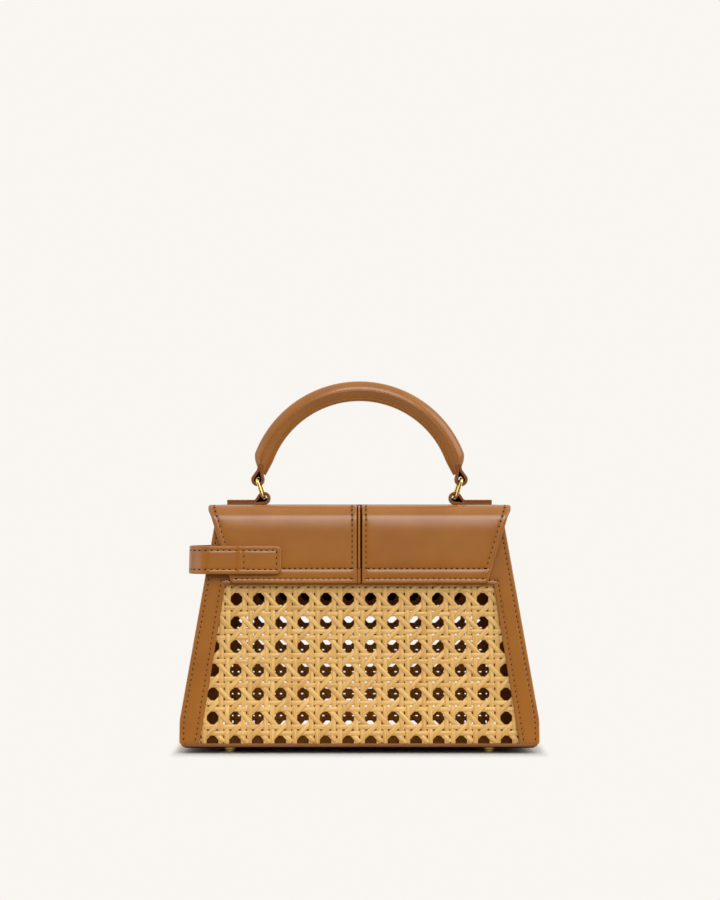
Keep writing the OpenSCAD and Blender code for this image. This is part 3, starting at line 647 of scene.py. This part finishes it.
class Fold:
    # Leather that starts level at back_y, folds over the front edge and runs down the panel
    def __init__(self, proud, back_y, mirror=False):
        self.y = -PANEL_Y + (FOLD_R - proud + SIN * (FOLD_Z - FLOOR_Z)) / COS
        self.mirror = mirror
        self.level = back_y - self.y
        self.end = self.level + FOLD_R * (math.pi / 2 - LEAN)

    def __call__(self, x, s, out):
        a = math.pi / 2 + np.clip((s - self.level) / FOLD_R, 0, math.pi / 2 - LEAN)
        past = np.maximum(0, s - self.end)
        y = self.y + (FOLD_R + out) * np.cos(a) + np.maximum(0, self.level - s) - past * SIN
        z = FOLD_Z + (FOLD_R + out) * np.sin(a) - past * COS
        return np.stack([x, -y if self.mirror else y, z], 1)

    def height(self, s):
        return self(np.zeros_like(s), s, np.zeros_like(s))[:, 2]

    def run_to(self, z):
        return self.end + (FOLD_Z + FOLD_R * SIN - z) / COS

    def rows(self, top, run, steps):
        # Rows over the fold as given, then on to the lower edge, close together near it
        rest = (run - np.array(steps))[::-1]
        return np.concatenate([top, rest[rest > top[-1] + 0.6]])


def flap_side(z):
    return FLAP_HALF - SIDE_SLOPE * np.maximum(0, FLAP_TOP - z)


def lip_half(z, edge, lip):
    side = math.atan(SIDE_SLOPE)
    centre = lip - LIP_R * (1 - math.sin(side)) / math.cos(side)
    low = np.clip(edge + LIP_R - z, 0, LIP_R)
    bend = centre + np.sqrt(np.maximum(0, LIP_R ** 2 - low ** 2))
    return np.where(low > LIP_R * math.sin(side), bend, flap_side(z))


def softer_fold(fold, s):
    # How far a fold of a wider radius lies inside the fold's own surface
    half_angle = (math.pi / 2 + LEAN) / 2
    shift = (SOFT_R - FOLD_R) / math.sin(half_angle)
    extra = (SOFT_R - FOLD_R) / math.tan(half_angle)
    a = (s - (fold.level + fold.end) / 2) / FOLD_R
    arc = -shift * np.cos(a) + np.sqrt(SOFT_R ** 2 - (shift * np.sin(a)) ** 2) - FOLD_R
    past = np.maximum(fold.level - s, s - fold.end)
    flat = np.sqrt(SOFT_R ** 2 - np.clip(extra - past, 0, extra) ** 2) - SOFT_R
    return np.where(past > 0, flat, arc)


flap_fold = Fold(3.5, HINGE_Y - 0.15)
flap_run = flap_fold.run_to(FLAP_EDGE)
flap_rows = flap_fold.rows(
    np.concatenate([np.linspace(0, flap_fold.level - 3, 14),
                    np.linspace(flap_fold.level - 2.2, flap_fold.end + 1.5, 20)]),
    flap_run, EDGE_STEPS + [5.6, 6.5, 7.2, 7.7, 8.0, 8.3, 8.6, 9.0, 9.6, 10.4, 11.5, 13, *range(15, 33, 2)])

flap_z = flap_fold.height(flap_rows)
half = lip_half(flap_z, FLAP_EDGE, FLAP_LIP)
x = np.stack([between(SLOT, h, 26) for h in half])
s = np.repeat(flap_rows[:, None], x.shape[1], 1)
corner, d_slot, d_edge = half[:, None] - x, x - SLOT, flap_run - s
d_side = (flap_side(flap_z)[:, None] - x) / SIDE_SECANT
inside = np.clip(np.minimum(d_slot - 1.6, d_side - 1.4), 0, 1)
nearest = np.minimum(np.minimum(d_slot, corner), d_edge)
plain = np.minimum(soft_edge(nearest, 0.55), soft_edge(corner, 1.1)) + softer_fold(flap_fold, s)
rows = (channel(d_edge - SEAM) + channel(d_edge - HEM_SEAM, 0.26, 0.5)) * inside
plain += 0.22 * np.sin(math.pi * np.clip((d_edge - SEAM) / (HEM_SEAM - SEAM), 0, 1)) * inside
down = (1 - np.cos(math.pi * np.clip((s - flap_fold.end) / 6, 0, 1))) / 2
for side, word in SIDES:
    d_seam = d_slot - SLOT_SEAM[side]
    sides = (channel(d_seam) + channel(d_side - SIDE_SEAM)) * np.clip(d_edge - 1.5, 0, 1)
    field = np.clip(np.minimum(np.minimum(d_seam, d_side - SIDE_SEAM), d_edge - HEM_SEAM) / 5, 0, 1)
    height = plain + np.minimum(rows, sides) + 0.2 * np.sin(field * math.pi / 2) * down
    made = grid_piece(f"flap_panel_{word}_leather", np.stack([side * x, s], -1), height, SKIN, flap_fold,
                      [tan_calf, painted_edge])
    fit(made, "flap", "leather", f"flap_panel_{word}")
    lows = flap_run - np.array([SEAM, HEM_SEAM])
    seam_x = side * (SLOT + SLOT_SEAM[side])
    stitch_row("flap", [(seam_x, 1.5), (seam_x, lows[0])], flap_fold)
    halves = lip_half(flap_fold.height(lows), FLAP_EDGE, FLAP_LIP) - SIDE_SEAM * SIDE_SECANT - (0.4, 0.8)
    for low, end, sunk in zip(lows, halves, (-0.16, -0.14)):
        stitch_row("flap", [(side * (SLOT + 3.6), low), (side * end, low)], flap_fold, height=sunk)
    side_s = np.linspace(1.5, lows[0], 40)
    side_x = flap_side(flap_fold.height(side_s)) - SIDE_SEAM * SIDE_SECANT
    stitch_row("flap", np.stack([side * side_x, side_s], 1), flap_fold)


# Flap lining: one sheet of lining leather under both panels, its lower hem turned up in the slot.
# It is pasted to them and caught by all of their stitches.
HEM_LEFT, HEM_RIGHT = -1.3, 0.75
half = half - 0.05
x = np.stack([between(-h, h, 30, NEAR[:5]) for h in half])
nearest = np.minimum(half[:, None] - np.abs(x), (flap_rows[-1] - flap_rows)[:, None])
# Its face shows only in the slot between the panels, and is in the near-black lining: painted shade in the slot
lining = grid_piece("flap_lining_leather", row_grid(x, flap_rows), -SKIN + 0.5 * soft_edge(nearest, 0.3), 3.0,
                    flap_fold, [shade_dark_lining, painted_edge, inner_calf])
fit(lining, "flap", "leather_trim", "flap_lining")
hem_rows = flap_run - np.array([8.5, 8.3, 8.0, 6.5, 5.0, 3.5, 2.0, 1.0, 0.5, 0.2, 0.0])
flat = np.stack(np.meshgrid(np.linspace(HEM_LEFT, HEM_RIGHT, 7), hem_rows), -1)
x, s = flat[..., 0], flat[..., 1]
height = -0.55 + soft_edge(np.minimum(flap_run - s, s - hem_rows[0]), 0.3)
height += soft_edge(np.minimum(x - HEM_LEFT, HEM_RIGHT - x), 0.35)
hem = grid_piece("flap_slot_hem", flat, height, 2.4, flap_fold, [tan_calf, painted_edge])
fit(hem, "flap", "leather_trim")


# Piping: a thin rolled strip of calf leather in the slot between the two panels.
# It is sewn under the left panel and stops at the upper row of the flap's hem.
PIPING_LEFT, PIPING_RIGHT = -0.95, 0.45
piping_run = flap_fold.run_to(103.6)
piping_rows = np.concatenate([flap_rows[flap_rows < piping_run - 0.4], piping_run - np.array([0.3, 0.1, 0])])
swing = np.linspace(0, math.pi, 11)
piping_x = (PIPING_LEFT + PIPING_RIGHT) / 2 - (PIPING_RIGHT - PIPING_LEFT) / 2 * np.cos(swing)
flat = np.stack(np.meshgrid(piping_x, piping_rows), -1)
s = flat[..., 1]
height = -0.45 + 0.85 * np.sin(swing) + soft_edge(piping_run - s, 0.3) + softer_fold(flap_fold, s)
# On the top of the bag it lies deeper in the slot
height -= 0.8 * np.clip((0.3 * flap_fold.level + 0.7 * flap_fold.end - s) / 4, 0, 1)
piping = grid_piece("flap_piping_roll", flat, height, 1.9, flap_fold, [tan_calf, tan_calf])
fit(piping, "flap", "leather_trim", "flap_piping")


# Yoke: the calf panel that closes the top of the back, sewn to the back frame along its edges.
# Along the top it is one with the flap, and the fold between them is the flap's hinge.
YOKE_EDGE = 80.0
yoke_fold = Fold(2.3, -HINGE_Y - 0.15, mirror=True)
yoke_run = yoke_fold.run_to(YOKE_EDGE)
yoke_rows = yoke_fold.rows(
    np.concatenate([np.linspace(0, yoke_fold.level - 0.5, 3), np.linspace(yoke_fold.level, yoke_fold.end + 1.5, 18)]),
    yoke_run, EDGE_STEPS + [6, *np.arange(8, 50, 2.5)])
half = lip_half(yoke_fold.height(yoke_rows), YOKE_EDGE, flap_side(YOKE_EDGE))
across = np.stack([between(-h, h, 40) for h in half])
d_side = half[:, None] - np.abs(across)
d_edge = np.repeat((yoke_run - yoke_rows)[:, None], across.shape[1], 1)
height = soft_edge(np.minimum(d_side, d_edge), 0.55)
height += np.minimum(channel(d_side / SIDE_SECANT - SEAM), channel(d_edge - SEAM))
height += 0.25 * np.sin(np.clip((np.minimum(d_side, d_edge) - SEAM) / 6, 0, 1) * math.pi / 2)
# Its underside is in the near-black lining: painted shade inside the top of the back, seen through the cane
yoke = grid_piece("back_yoke_leather", row_grid(across, yoke_rows), height, SKIN, yoke_fold,
                  [tan_calf, painted_edge, shade_dark_lining])
fit(yoke, "body", "leather", "back_yoke")
side_s = np.linspace(1.0, yoke_run - SEAM, 40)
side_x = flap_side(yoke_fold.height(side_s)) - SEAM * SIDE_SECANT
line = np.concatenate([np.stack([-side_x, side_s], 1), np.stack([side_x, side_s], 1)[::-1]])
stitch_row("body", line, yoke_fold)


# Hinge lining: a strip of lining leather glued inside the fold where the flap meets the yoke.
# It keeps the fold from tearing.
STRIP_R, STRIP_Z = 5.6, 136.0
strip_path = turn((-yoke_fold.y, FOLD_Z), STRIP_R, 48, 90, 8)
strip_path += [(HINGE_Y + 1.2, 136.55), (HINGE_Y + 0.5, 136.2), (HINGE_Y - 0.4, 136.05)]
strip_path = np.array(strip_path + [(HINGE_Y - 1.6 - 1.3 * i, STRIP_Z) for i in range(9)])
strip_steps = np.arange(len(strip_path), dtype=float)
flat = np.stack(np.meshgrid(np.linspace(-84, 84, 43), strip_steps), -1)


def on_strip(x, s, out):
    y, z = (np.interp(s, strip_steps, strip_path[:, k]) for k in (0, 1))
    return np.stack([x, y, z + out], 1)


hinge_strip = grid_piece("hinge_lining_strip", flat, np.zeros(flat.shape[:2]), 0.35, on_strip,
                         [inner_calf, inner_calf])
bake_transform(hinge_strip)


# Magnets: two flat steel-cased discs, one let into the front frame and one into the flap lining.
# They meet when the flap is down and are the bag's only fastening.
MAGNET_U = (112 - FLOOR_Z) / COS
# Nickel plating on pressed steel: cool, even and softer in shine than the brass
nickel_steel = two_tone("nickel_plated_steel", "#B4B6B9", "#C4C5C6", 0.8, 3.0, (0.24, 0.38), metal=1.0)
for node, body, base, front in (("front_magnet", "body", -1.2, 0.12), ("flap_magnet", "flap", 1.3, 0.38)):
    lift = math.copysign(1, front - base)
    profile = [(7.0, base), (7.0, front - 0.25 * lift), (6.9, front - 0.08 * lift), (6.6, front), (5.2, front),
               (5.0, front - 0.1 * lift), (4.8, front - 0.1 * lift)]
    made = lathe(f"{node}_disc", profile, (0, MAGNET_U), nickel_steel)
    move_verts(made, panel_place("front"))
    fit(made, body, "magnet_steel", node)


# Side strap: a strip of calf leather sewn flat on the flap with a box of stitches.
# It bends round the left side of the bag, and its free end lies along the gusset.
STRAP_W, STRAP_T, STRAP_Z, STRAP_END, STRAP_BEND = 15.9, 2.4, 108.1, 44.2, 12.0
STRAP_SEAM, STRAP_ROUND, BOX = 2.6, 3.0, 21.2
# Where the strap lies close along the gusset, from here back
STRAP_BACK, STRAP_TIP = 2, 14
strap_y = -PANEL_Y + (STRAP_Z - FLOOR_Z) * TAN - (3.5 + STRAP_T / 2) / COS
strap_wide = 97.4 - STRAP_T / 2
strap_close = side_half(STRAP_Z - FLOOR_Z) - GUSSET_IN + 0.5 + (STRAP_T + SIDE_LEAN * STRAP_W) / 2
strap_line = [(x, strap_y) for x in np.linspace(STRAP_END, strap_wide - STRAP_BEND, 60)]
strap_line += turn((strap_wide - STRAP_BEND, strap_y + STRAP_BEND), STRAP_BEND, -90, 0, 24)[1:]
ease = np.linspace(0, 1, 25)[1:]
strap_line += list(zip(strap_wide + (strap_close - strap_wide) * ease ** 2 * (3 - 2 * ease),
                       strap_y + STRAP_BEND + (STRAP_BACK - strap_y - STRAP_BEND) * ease))
strap_line += [(strap_close, y) for y in np.linspace(STRAP_BACK, STRAP_TIP, 13)[1:]]
strap_line = np.array(strap_line)
strap_reach = np.concatenate([[0], np.cumsum(np.linalg.norm(np.diff(strap_line, axis=0), axis=1))])
heading = np.gradient(strap_line, axis=0)
heading /= np.linalg.norm(heading, axis=1)[:, None]


def on_strap(s, w, out):
    px, py = (np.interp(s, strap_reach, strap_line[:, k]) for k in (0, 1))
    hx, hy = (np.interp(s, strap_reach, heading[:, k]) for k in (0, 1))
    # It leans with the panel in front and with the gusset at the side
    share = np.clip((py - strap_y) / (STRAP_BACK - strap_y), 0, 1) ** 2
    out = out + STRAP_T / 2
    x = px + hy * out - SIDE_LEAN * share * w
    y = py - hx * out + TAN * (1 - share) * w
    return np.stack([-x, y, STRAP_Z + w], 1)


STRAP_LEN = strap_reach[-1]
near = np.array((0, 0.1, 0.3, 0.6, 1.0, 1.5, 2.0, 2.3, 2.6, 2.9, 3.4, 4.2))
strap_s = np.concatenate([near, np.arange(5, STRAP_LEN - 4.6, 0.9), STRAP_LEN - near[::-1]])
end_gap = np.minimum(strap_s, STRAP_LEN - strap_s)
round_gap = STRAP_ROUND - np.minimum(end_gap, STRAP_ROUND)
half = STRAP_W / 2 - STRAP_ROUND + np.sqrt(STRAP_ROUND ** 2 - round_gap ** 2)
share = np.array([0, 0.006, 0.018, 0.036, 0.07, 0.105, 0.13, 0.155, 0.18, 0.21, 0.26, 0.34, 0.42])
share = np.concatenate([share, [0.5], 1 - share[::-1]])
w = half[:, None] * (2 * share[None, :] - 1)
s, d_end = (np.repeat(v[:, None], len(share), 1) for v in (strap_s, end_gap))
d_edge = half[:, None] - np.abs(w)
height = soft_edge(np.minimum(d_edge, d_end), 0.55)
height += np.minimum(channel(d_edge - STRAP_SEAM) * np.clip(d_end - 1.6, 0, 1),
                     (channel(s - STRAP_SEAM) + channel(s - BOX)) * np.clip(d_edge - 1.6, 0, 1))
# Past the box it rises a little, where the leather is no longer held down
height += 0.45 * np.exp(-((s - BOX - 2.2) / 1.1) ** 2)
side_strap = grid_piece("side_strap_leather", np.stack([s, w], -1), height, STRAP_T, on_strap,
                        [tan_calf, painted_edge, inner_calf])
fit(side_strap, "flap", "leather", "side_strap")
box, tip = STRAP_W / 2 - STRAP_SEAM, STRAP_LEN - STRAP_SEAM
stitch_row("flap", [(STRAP_SEAM, -box), (BOX, -box), (BOX, box), (STRAP_SEAM, box)], on_strap, 3.3, closed=True)
for w in (-box, box):
    stitch_row("flap", [(BOX + 4.5, w), (tip, w)], on_strap, 3.5)
stitch_row("flap", [(tip, -box), (tip, box)], on_strap, 3.3)


# Tabs: a strip of calf leather at each side, folded double round the wire ring.
# Its two layers are pasted together and sewn down on the top of the flap, edges painted.
def rounded_box(half_a, half_b, r, steps):
    line = []
    for a, b, start in ((1, 1, 0), (-1, 1, 90), (-1, -1, 180), (1, -1, 270)):
        line += turn((a * (half_a - r), b * (half_b - r)), r, start, start + 90, steps)
    return np.array(line)


def band(name, line, wide, thick):
    # A strap that follows a line seen from the front
    line = np.asarray(line, float)
    ahead = np.gradient(line, axis=0)
    ahead /= np.linalg.norm(ahead, axis=1)[:, None]
    out = np.stack([-ahead[:, 1], ahead[:, 0]], 1)
    soft = 0.4
    section = rounded_box(1.0, wide / 2, soft, 3)
    rings = [[(p[0] + n[0] * a * w, b, p[1] + n[1] * a * w) for a, b in section]
             for p, n, w in zip(line, out, np.broadcast_to(thick, len(line)) / 2)]
    middle = np.abs(section[:, 1] + np.roll(section[:, 1], -1)) / 2
    parts = (middle > wide / 2 - soft - 0.01).astype(int).tolist() * (len(line) - 1) + [1, 1]
    return piece(name, *sweep(rings), [tan_calf, painted_edge], parts)


LOOP_R, LOOP_T, LOOP_W, TAB_END, TAB_T = 2.1, 1.7, 10.0, 76.9, 2.9
RING_LOW, BAR_CLEAR = (55.7, 143.8), 1.12
CORD_W, CORD_REACH = 3.0, 150
layer, r_mid = TAB_T / 2, LOOP_R + LOOP_T / 2


def fork_core(name, side, centre, fork, bar, clear, body):
    # The cord end that fills a loop between the fork of its two layers and the ring's bar, in the near-black lining:
    # painted shade inside the loop
    dx, dz = fork[0] - centre[0], fork[1] - centre[1]
    far, up = math.hypot(dx, dz), math.degrees(math.atan2(dz, dx))
    touch = math.degrees(math.acos(LOOP_R / far))
    rings = []
    for a in np.linspace(-CORD_REACH, CORD_REACH, 25):
        r = 0.98 * LOOP_R / math.cos(math.radians(max(0, touch - abs(a))))
        c, s = math.cos(math.radians(a + up)), math.sin(math.radians(a + up))
        outer = (centre[0] + r * c, centre[1] + r * s)
        inner = (bar[0] + clear * c, bar[1] + clear * s)
        rings.append([(side * x, y * CORD_W / 2, z)
                      for (x, z), y in ((outer, -1), (inner, -1), (inner, 1), (outer, 1))])
    fit(piece(name, *sweep(rings), [shade_dark_lining]), body, "leather_trim")


tab_centre = (RING_LOW[0], FLAP_TOP + LOOP_R + LOOP_T)
meet_x, meet_z = 60.4, FLAP_TOP + 1.5 * layer
dx, dz = meet_x - tab_centre[0], meet_z - tab_centre[1]
leave = math.degrees(math.acos(r_mid / math.hypot(dx, dz)) + math.atan2(dz, dx))
bend = turn(tab_centre, r_mid, leave, 268, 26)
tab_line = [(x, meet_z) for x in np.linspace(TAB_END, meet_x + 1.6, 8)] + [(meet_x, meet_z + 0.2)]
tab_line += [(meet_x * 0.45 + bend[0][0] * 0.55, meet_z * 0.45 + bend[0][1] * 0.55)] + bend
tab_line += [(x, FLAP_TOP + np.interp(x, [RING_LOW[0], meet_x], [LOOP_T / 2, layer / 2]))
             for x in np.linspace(RING_LOW[0] + 1.2, TAB_END, 12)]
thick = np.interp([x for x, z in tab_line], [RING_LOW[0] + 2, meet_x + 1], [LOOP_T, layer])
for side, word in SIDES:
    made = band(f"tab_{word}_leather", [(side * x, z) for x, z in tab_line], LOOP_W, thick)
    fit(made, "flap", "leather", f"tab_{word}")
    fork_core(f"tab_{word}_core", side, tab_centre, (meet_x + 0.3, FLAP_TOP + layer), RING_LOW, BAR_CLEAR, "flap")

    def on_tab(x, y, out, side=side):
        return np.stack([side * x, y, FLAP_TOP + TAB_T + out], 1)
    stitch_row("flap", [(63.6, -3), (75.4, -3), (75.4, 3), (63.6, 3)], on_tab, 3.0, -0.1, closed=True)


# Rings: round brass wire bent to a long ring and brazed shut, one at each end of the handle.
# The tab's loop holds the lower bar and the handle's loop hangs on the upper one.
RING_OUT, RING_RISE, RING_HALF, RING_R, RING_YAW, WIRE_R = 3.5, 10.6, 6.25, 2.2, 5, 0.92


def bent_ring(name, side):
    half = math.hypot(RING_OUT, RING_RISE) / 2
    line = rounded_box(RING_HALF, half, RING_R, 10)
    ahead = np.roll(line, -1, 0) - np.roll(line, 1, 0)
    ahead /= np.linalg.norm(ahead, axis=1)[:, None]
    out = np.stack([ahead[:, 1], -ahead[:, 0]], 1)
    round_wire = turn((0, 0), WIRE_R, 0, 360, 20)[:-1]
    rings = np.stack([np.insert(line + out * a + (0, half), 0, b, 1) for a, b in round_wire], 1)
    yaw, tilt = math.radians(side * RING_YAW), side * math.atan(RING_OUT / RING_RISE)
    x, y, z = np.moveaxis(rings, 2, 0)
    x, y = x * math.cos(yaw) - y * math.sin(yaw), x * math.sin(yaw) + y * math.cos(yaw)
    x, z = x * math.cos(tilt) + z * math.sin(tilt), -x * math.sin(tilt) + z * math.cos(tilt)
    rings = np.stack([x + side * RING_LOW[0], y, z + RING_LOW[1]], 2)
    return piece(name, *sweep(rings, closed=True), [gold_brass])


for side, word in SIDES:
    fit(bent_ring(f"ring_{word}_wire", side), f"ring_{word}", "brass", f"ring_{word}")


# Handle: calf leather rolled round a cord core, its edges pasted and sewn as a flange inside the arc.
# At each end a loop of the same leather runs out of the flange and round the ring.
ARC_Z, ARC_OUT, GRIP_R, GRIP_HIGH, FLANGE_R = 146.3, 65.3, 4.9, 7.0, 53.7
NECK_R, END_OUT, END_IN = 59.1, 61.0, 55.7
# Outside it is an oval, high and rather flat in front, down to the seam, and then the flange
grip = [(ARC_OUT - GRIP_HIGH * (1 - math.sin(math.radians(a))), 1.03 * GRIP_R * math.cos(math.radians(a)))
        for a in range(90, 14, -6)]
grip += [(60.05, 4.84), (59.95, 4.84), (59.85, 5.02), (59.62, 5.08), (59.35, 4.98), (58.6, 4.55), (57.6, 4.05),
         (56.6, 3.55), (56.0, 3.28), (55.7, 3.2), (55.4, 3.2), (54.9, 3.2), (54.4, 3.14), (54.05, 3.0),
         (53.8, 2.7), (FLANGE_R, 2.3), (FLANGE_R, 1.2), (FLANGE_R, 0)]
grip = np.array(grip)
section = np.concatenate([grip, (grip * [1, -1])[-2:0:-1]])
rings = []
for t in np.concatenate([np.linspace(0, 0.2, 30), np.linspace(0.2, 0.8, 60)[1:-1], np.linspace(0.8, 1, 30)]):
    r, y = section.T
    end = 12 + 3 * (r - NECK_R) / 11.6
    a = end + (180 - 2 * end) * t
    # Towards both ends it is drawn in to the width of the loops
    near = np.clip((21 - np.minimum(a, 180 - a)) / (21 - end), 0, 1) ** 1.5
    limit = np.where(r > NECK_R, (END_OUT - NECK_R) / (ARC_OUT - NECK_R), (NECK_R - END_IN) / (NECK_R - FLANGE_R))
    r = NECK_R + (r - NECK_R) * (1 - near * (1 - limit))
    rad = np.radians(a)
    rings.append(np.stack([r * np.cos(rad), y * (1 - 0.12 * near), ARC_Z + r * np.sin(rad)], 1))
handle = piece("handle_grip_leather", *sweep(rings), [tan_calf], sharp=50)
fit(handle, "handle", "leather", "handle")

SEAM_R, SEAM_START, FLANGE_HALF = 55.0, 20, 3.22
for front in (-1, 1):
    def on_flange(a, r, out, front=front):
        rad = np.radians(a)
        return np.stack([r * np.cos(rad), front * (FLANGE_HALF + out), ARC_Z + r * np.sin(rad)], 1)
    line = [(a, SEAM_R) for a in np.linspace(SEAM_START, 180 - SEAM_START, 120)]
    stitch_row("handle", line, on_flange, 3.1 / math.radians(SEAM_R), -0.02)

LOOP_AT, LOOP_UP, LOOP_TAIL, LOOP_LEN = (59.2, 154.0), 102, 5.4, 9.0
layer = LOOP_T / 2
# The loop on its side: in along one layer, round the bar, and out along the other
leave = math.degrees(math.acos(r_mid / math.hypot(LOOP_TAIL, layer)) + math.atan2(layer, LOOP_TAIL))
bend = turn((0, 0), r_mid, leave, 360 - leave, 28)
start = [(LOOP_LEN, layer), ((LOOP_LEN + LOOP_TAIL) / 2, layer), (LOOP_TAIL, layer),
         ((LOOP_TAIL + bend[0][0]) / 2, (layer + bend[0][1]) / 2)]
c, s = math.cos(math.radians(LOOP_UP)), math.sin(math.radians(LOOP_UP))
loop_line = [(LOOP_AT[0] + x * c - y * s, LOOP_AT[1] + x * s + y * c)
             for x, y in start + bend + [(x, -y) for x, y in reversed(start)]]
fork = (LOOP_AT[0] + LOOP_TAIL * c, LOOP_AT[1] + LOOP_TAIL * s)
# The right ring's bar shifts in its loop as the handle swings, so there the cord lies further from it
RING_HIGH = {-1: ((59.2, 154.4), BAR_CLEAR), 1: ((59.0, 154.4), 1.36)}
for side, word in SIDES:
    made = band(f"handle_loop_{word}", [(side * x, z) for x, z in loop_line], LOOP_W - 0.6, LOOP_T)
    fit(made, "handle", "leather")
    fork_core(f"handle_loop_core_{word}", side, LOOP_AT, fork, *RING_HIGH[side], "handle")


# Thread: waxed polyester in the colour of the leather, in even machine stitches.
# Each stitch dips into the leather at its two ends, and there small near-black pits paint the shade in the needle
# holes.
def set_on_points(tree, points, shape):
    run, out = (add(tree, "GeometryNodeInputNamedAttribute", {"Name": word}, data_type="FLOAT_VECTOR")
                for word in ("run", "out"))
    aim = add(tree, "FunctionNodeAxesToRotation", {0: run, 1: out}, primary_axis="X", secondary_axis="Z")
    return add(tree, "GeometryNodeInstanceOnPoints", {"Points": points, "Instance": shape, "Rotation": aim})


# Waxed polyester thread, its twist showing as fine light and dark
waxed_thread = two_tone("waxed_polyester_thread", "#8C5629", "#A86E3C", 0.3, 2.0, (0.5, 0.5), 0.4)
# Painted shade for the inside of a needle hole: matt and nearly black
needle_hole_shade = two_tone("needle_hole_painted_shade", "#1E0E05", "#2E1809", 0.4, 2.0, (0.9, 0.9), 0.0)

sewer, given = node_group("stitch_sewer", ("Stitch length", "Thread radius", "Arch"))
ahead, behind, sink = (add(sewer, "ShaderNodeMath", {0: given[word], 1: share}, operation="MULTIPLY")
                       for word, share in (("Stitch length", 0.5), ("Stitch length", -0.5), ("Arch", -1.0)))
tail = add(sewer, "ShaderNodeCombineXYZ", {0: behind, 2: sink})
crown = add(sewer, "ShaderNodeCombineXYZ", {2: given["Arch"]})
head = add(sewer, "ShaderNodeCombineXYZ", {0: ahead, 2: sink})
lie = add(sewer, "GeometryNodeCurveQuadraticBezier", {"Resolution": 4, "Start": tail, "Middle": crown, "End": head})
cut = add(sewer, "GeometryNodeCurvePrimitiveCircle", {"Resolution": 6, "Radius": given["Thread radius"]},
          mode="RADIUS")
stitch = add(sewer, "GeometryNodeCurveToMesh", {"Curve": lie, "Profile Curve": cut, "Fill Caps": True})
sewn = set_on_points(sewer, given["Geometry"], stitch)
end_group(sewer, add(sewer, "GeometryNodeSetShadeSmooth", {"Geometry": sewn}), waxed_thread)

awl, given = node_group("needle_awl", ("Hole length", "Hole width", "Hole depth"))
ball = add(awl, "GeometryNodeMeshUVSphere", {"Segments": 10, "Rings": 4, "Radius": 0.5})
size = add(awl, "ShaderNodeCombineXYZ", {0: given["Hole length"], 1: given["Hole width"], 2: given["Hole depth"]})
pit = add(awl, "GeometryNodeTransform", {"Geometry": ball, "Scale": size})
end_group(awl, set_on_points(awl, given["Geometry"], pit), needle_hole_shade)


def sew(body, name, tree, rows, sizes):
    spots, run, out = (np.concatenate([row[k] for row in rows]) for k in range(3))
    mesh = bpy.data.meshes.new("sewing_marks")
    mesh.from_pydata((spots * MM).tolist(), [], [])
    for word, values in (("run", run), ("out", out)):
        values = values / np.linalg.norm(values, axis=1)[:, None]
        mesh.attributes.new(word, "FLOAT_VECTOR", "POINT").data.foreach_set("vector", values.ravel())
    fit(grown(name, mesh, tree, sizes), body, "leather_trim")


for body, rows in stitch_sites.items():
    sew(body, f"{body}_stitches", sewer, rows, {"Stitch length": 2.3, "Thread radius": 0.22, "Arch": 0.14})
    if body in needle_sites:
        sew(body, f"{body}_needle_holes", awl, needle_sites[body],
            {"Hole length": 1.6, "Hole width": 1.05, "Hole depth": 0.2})
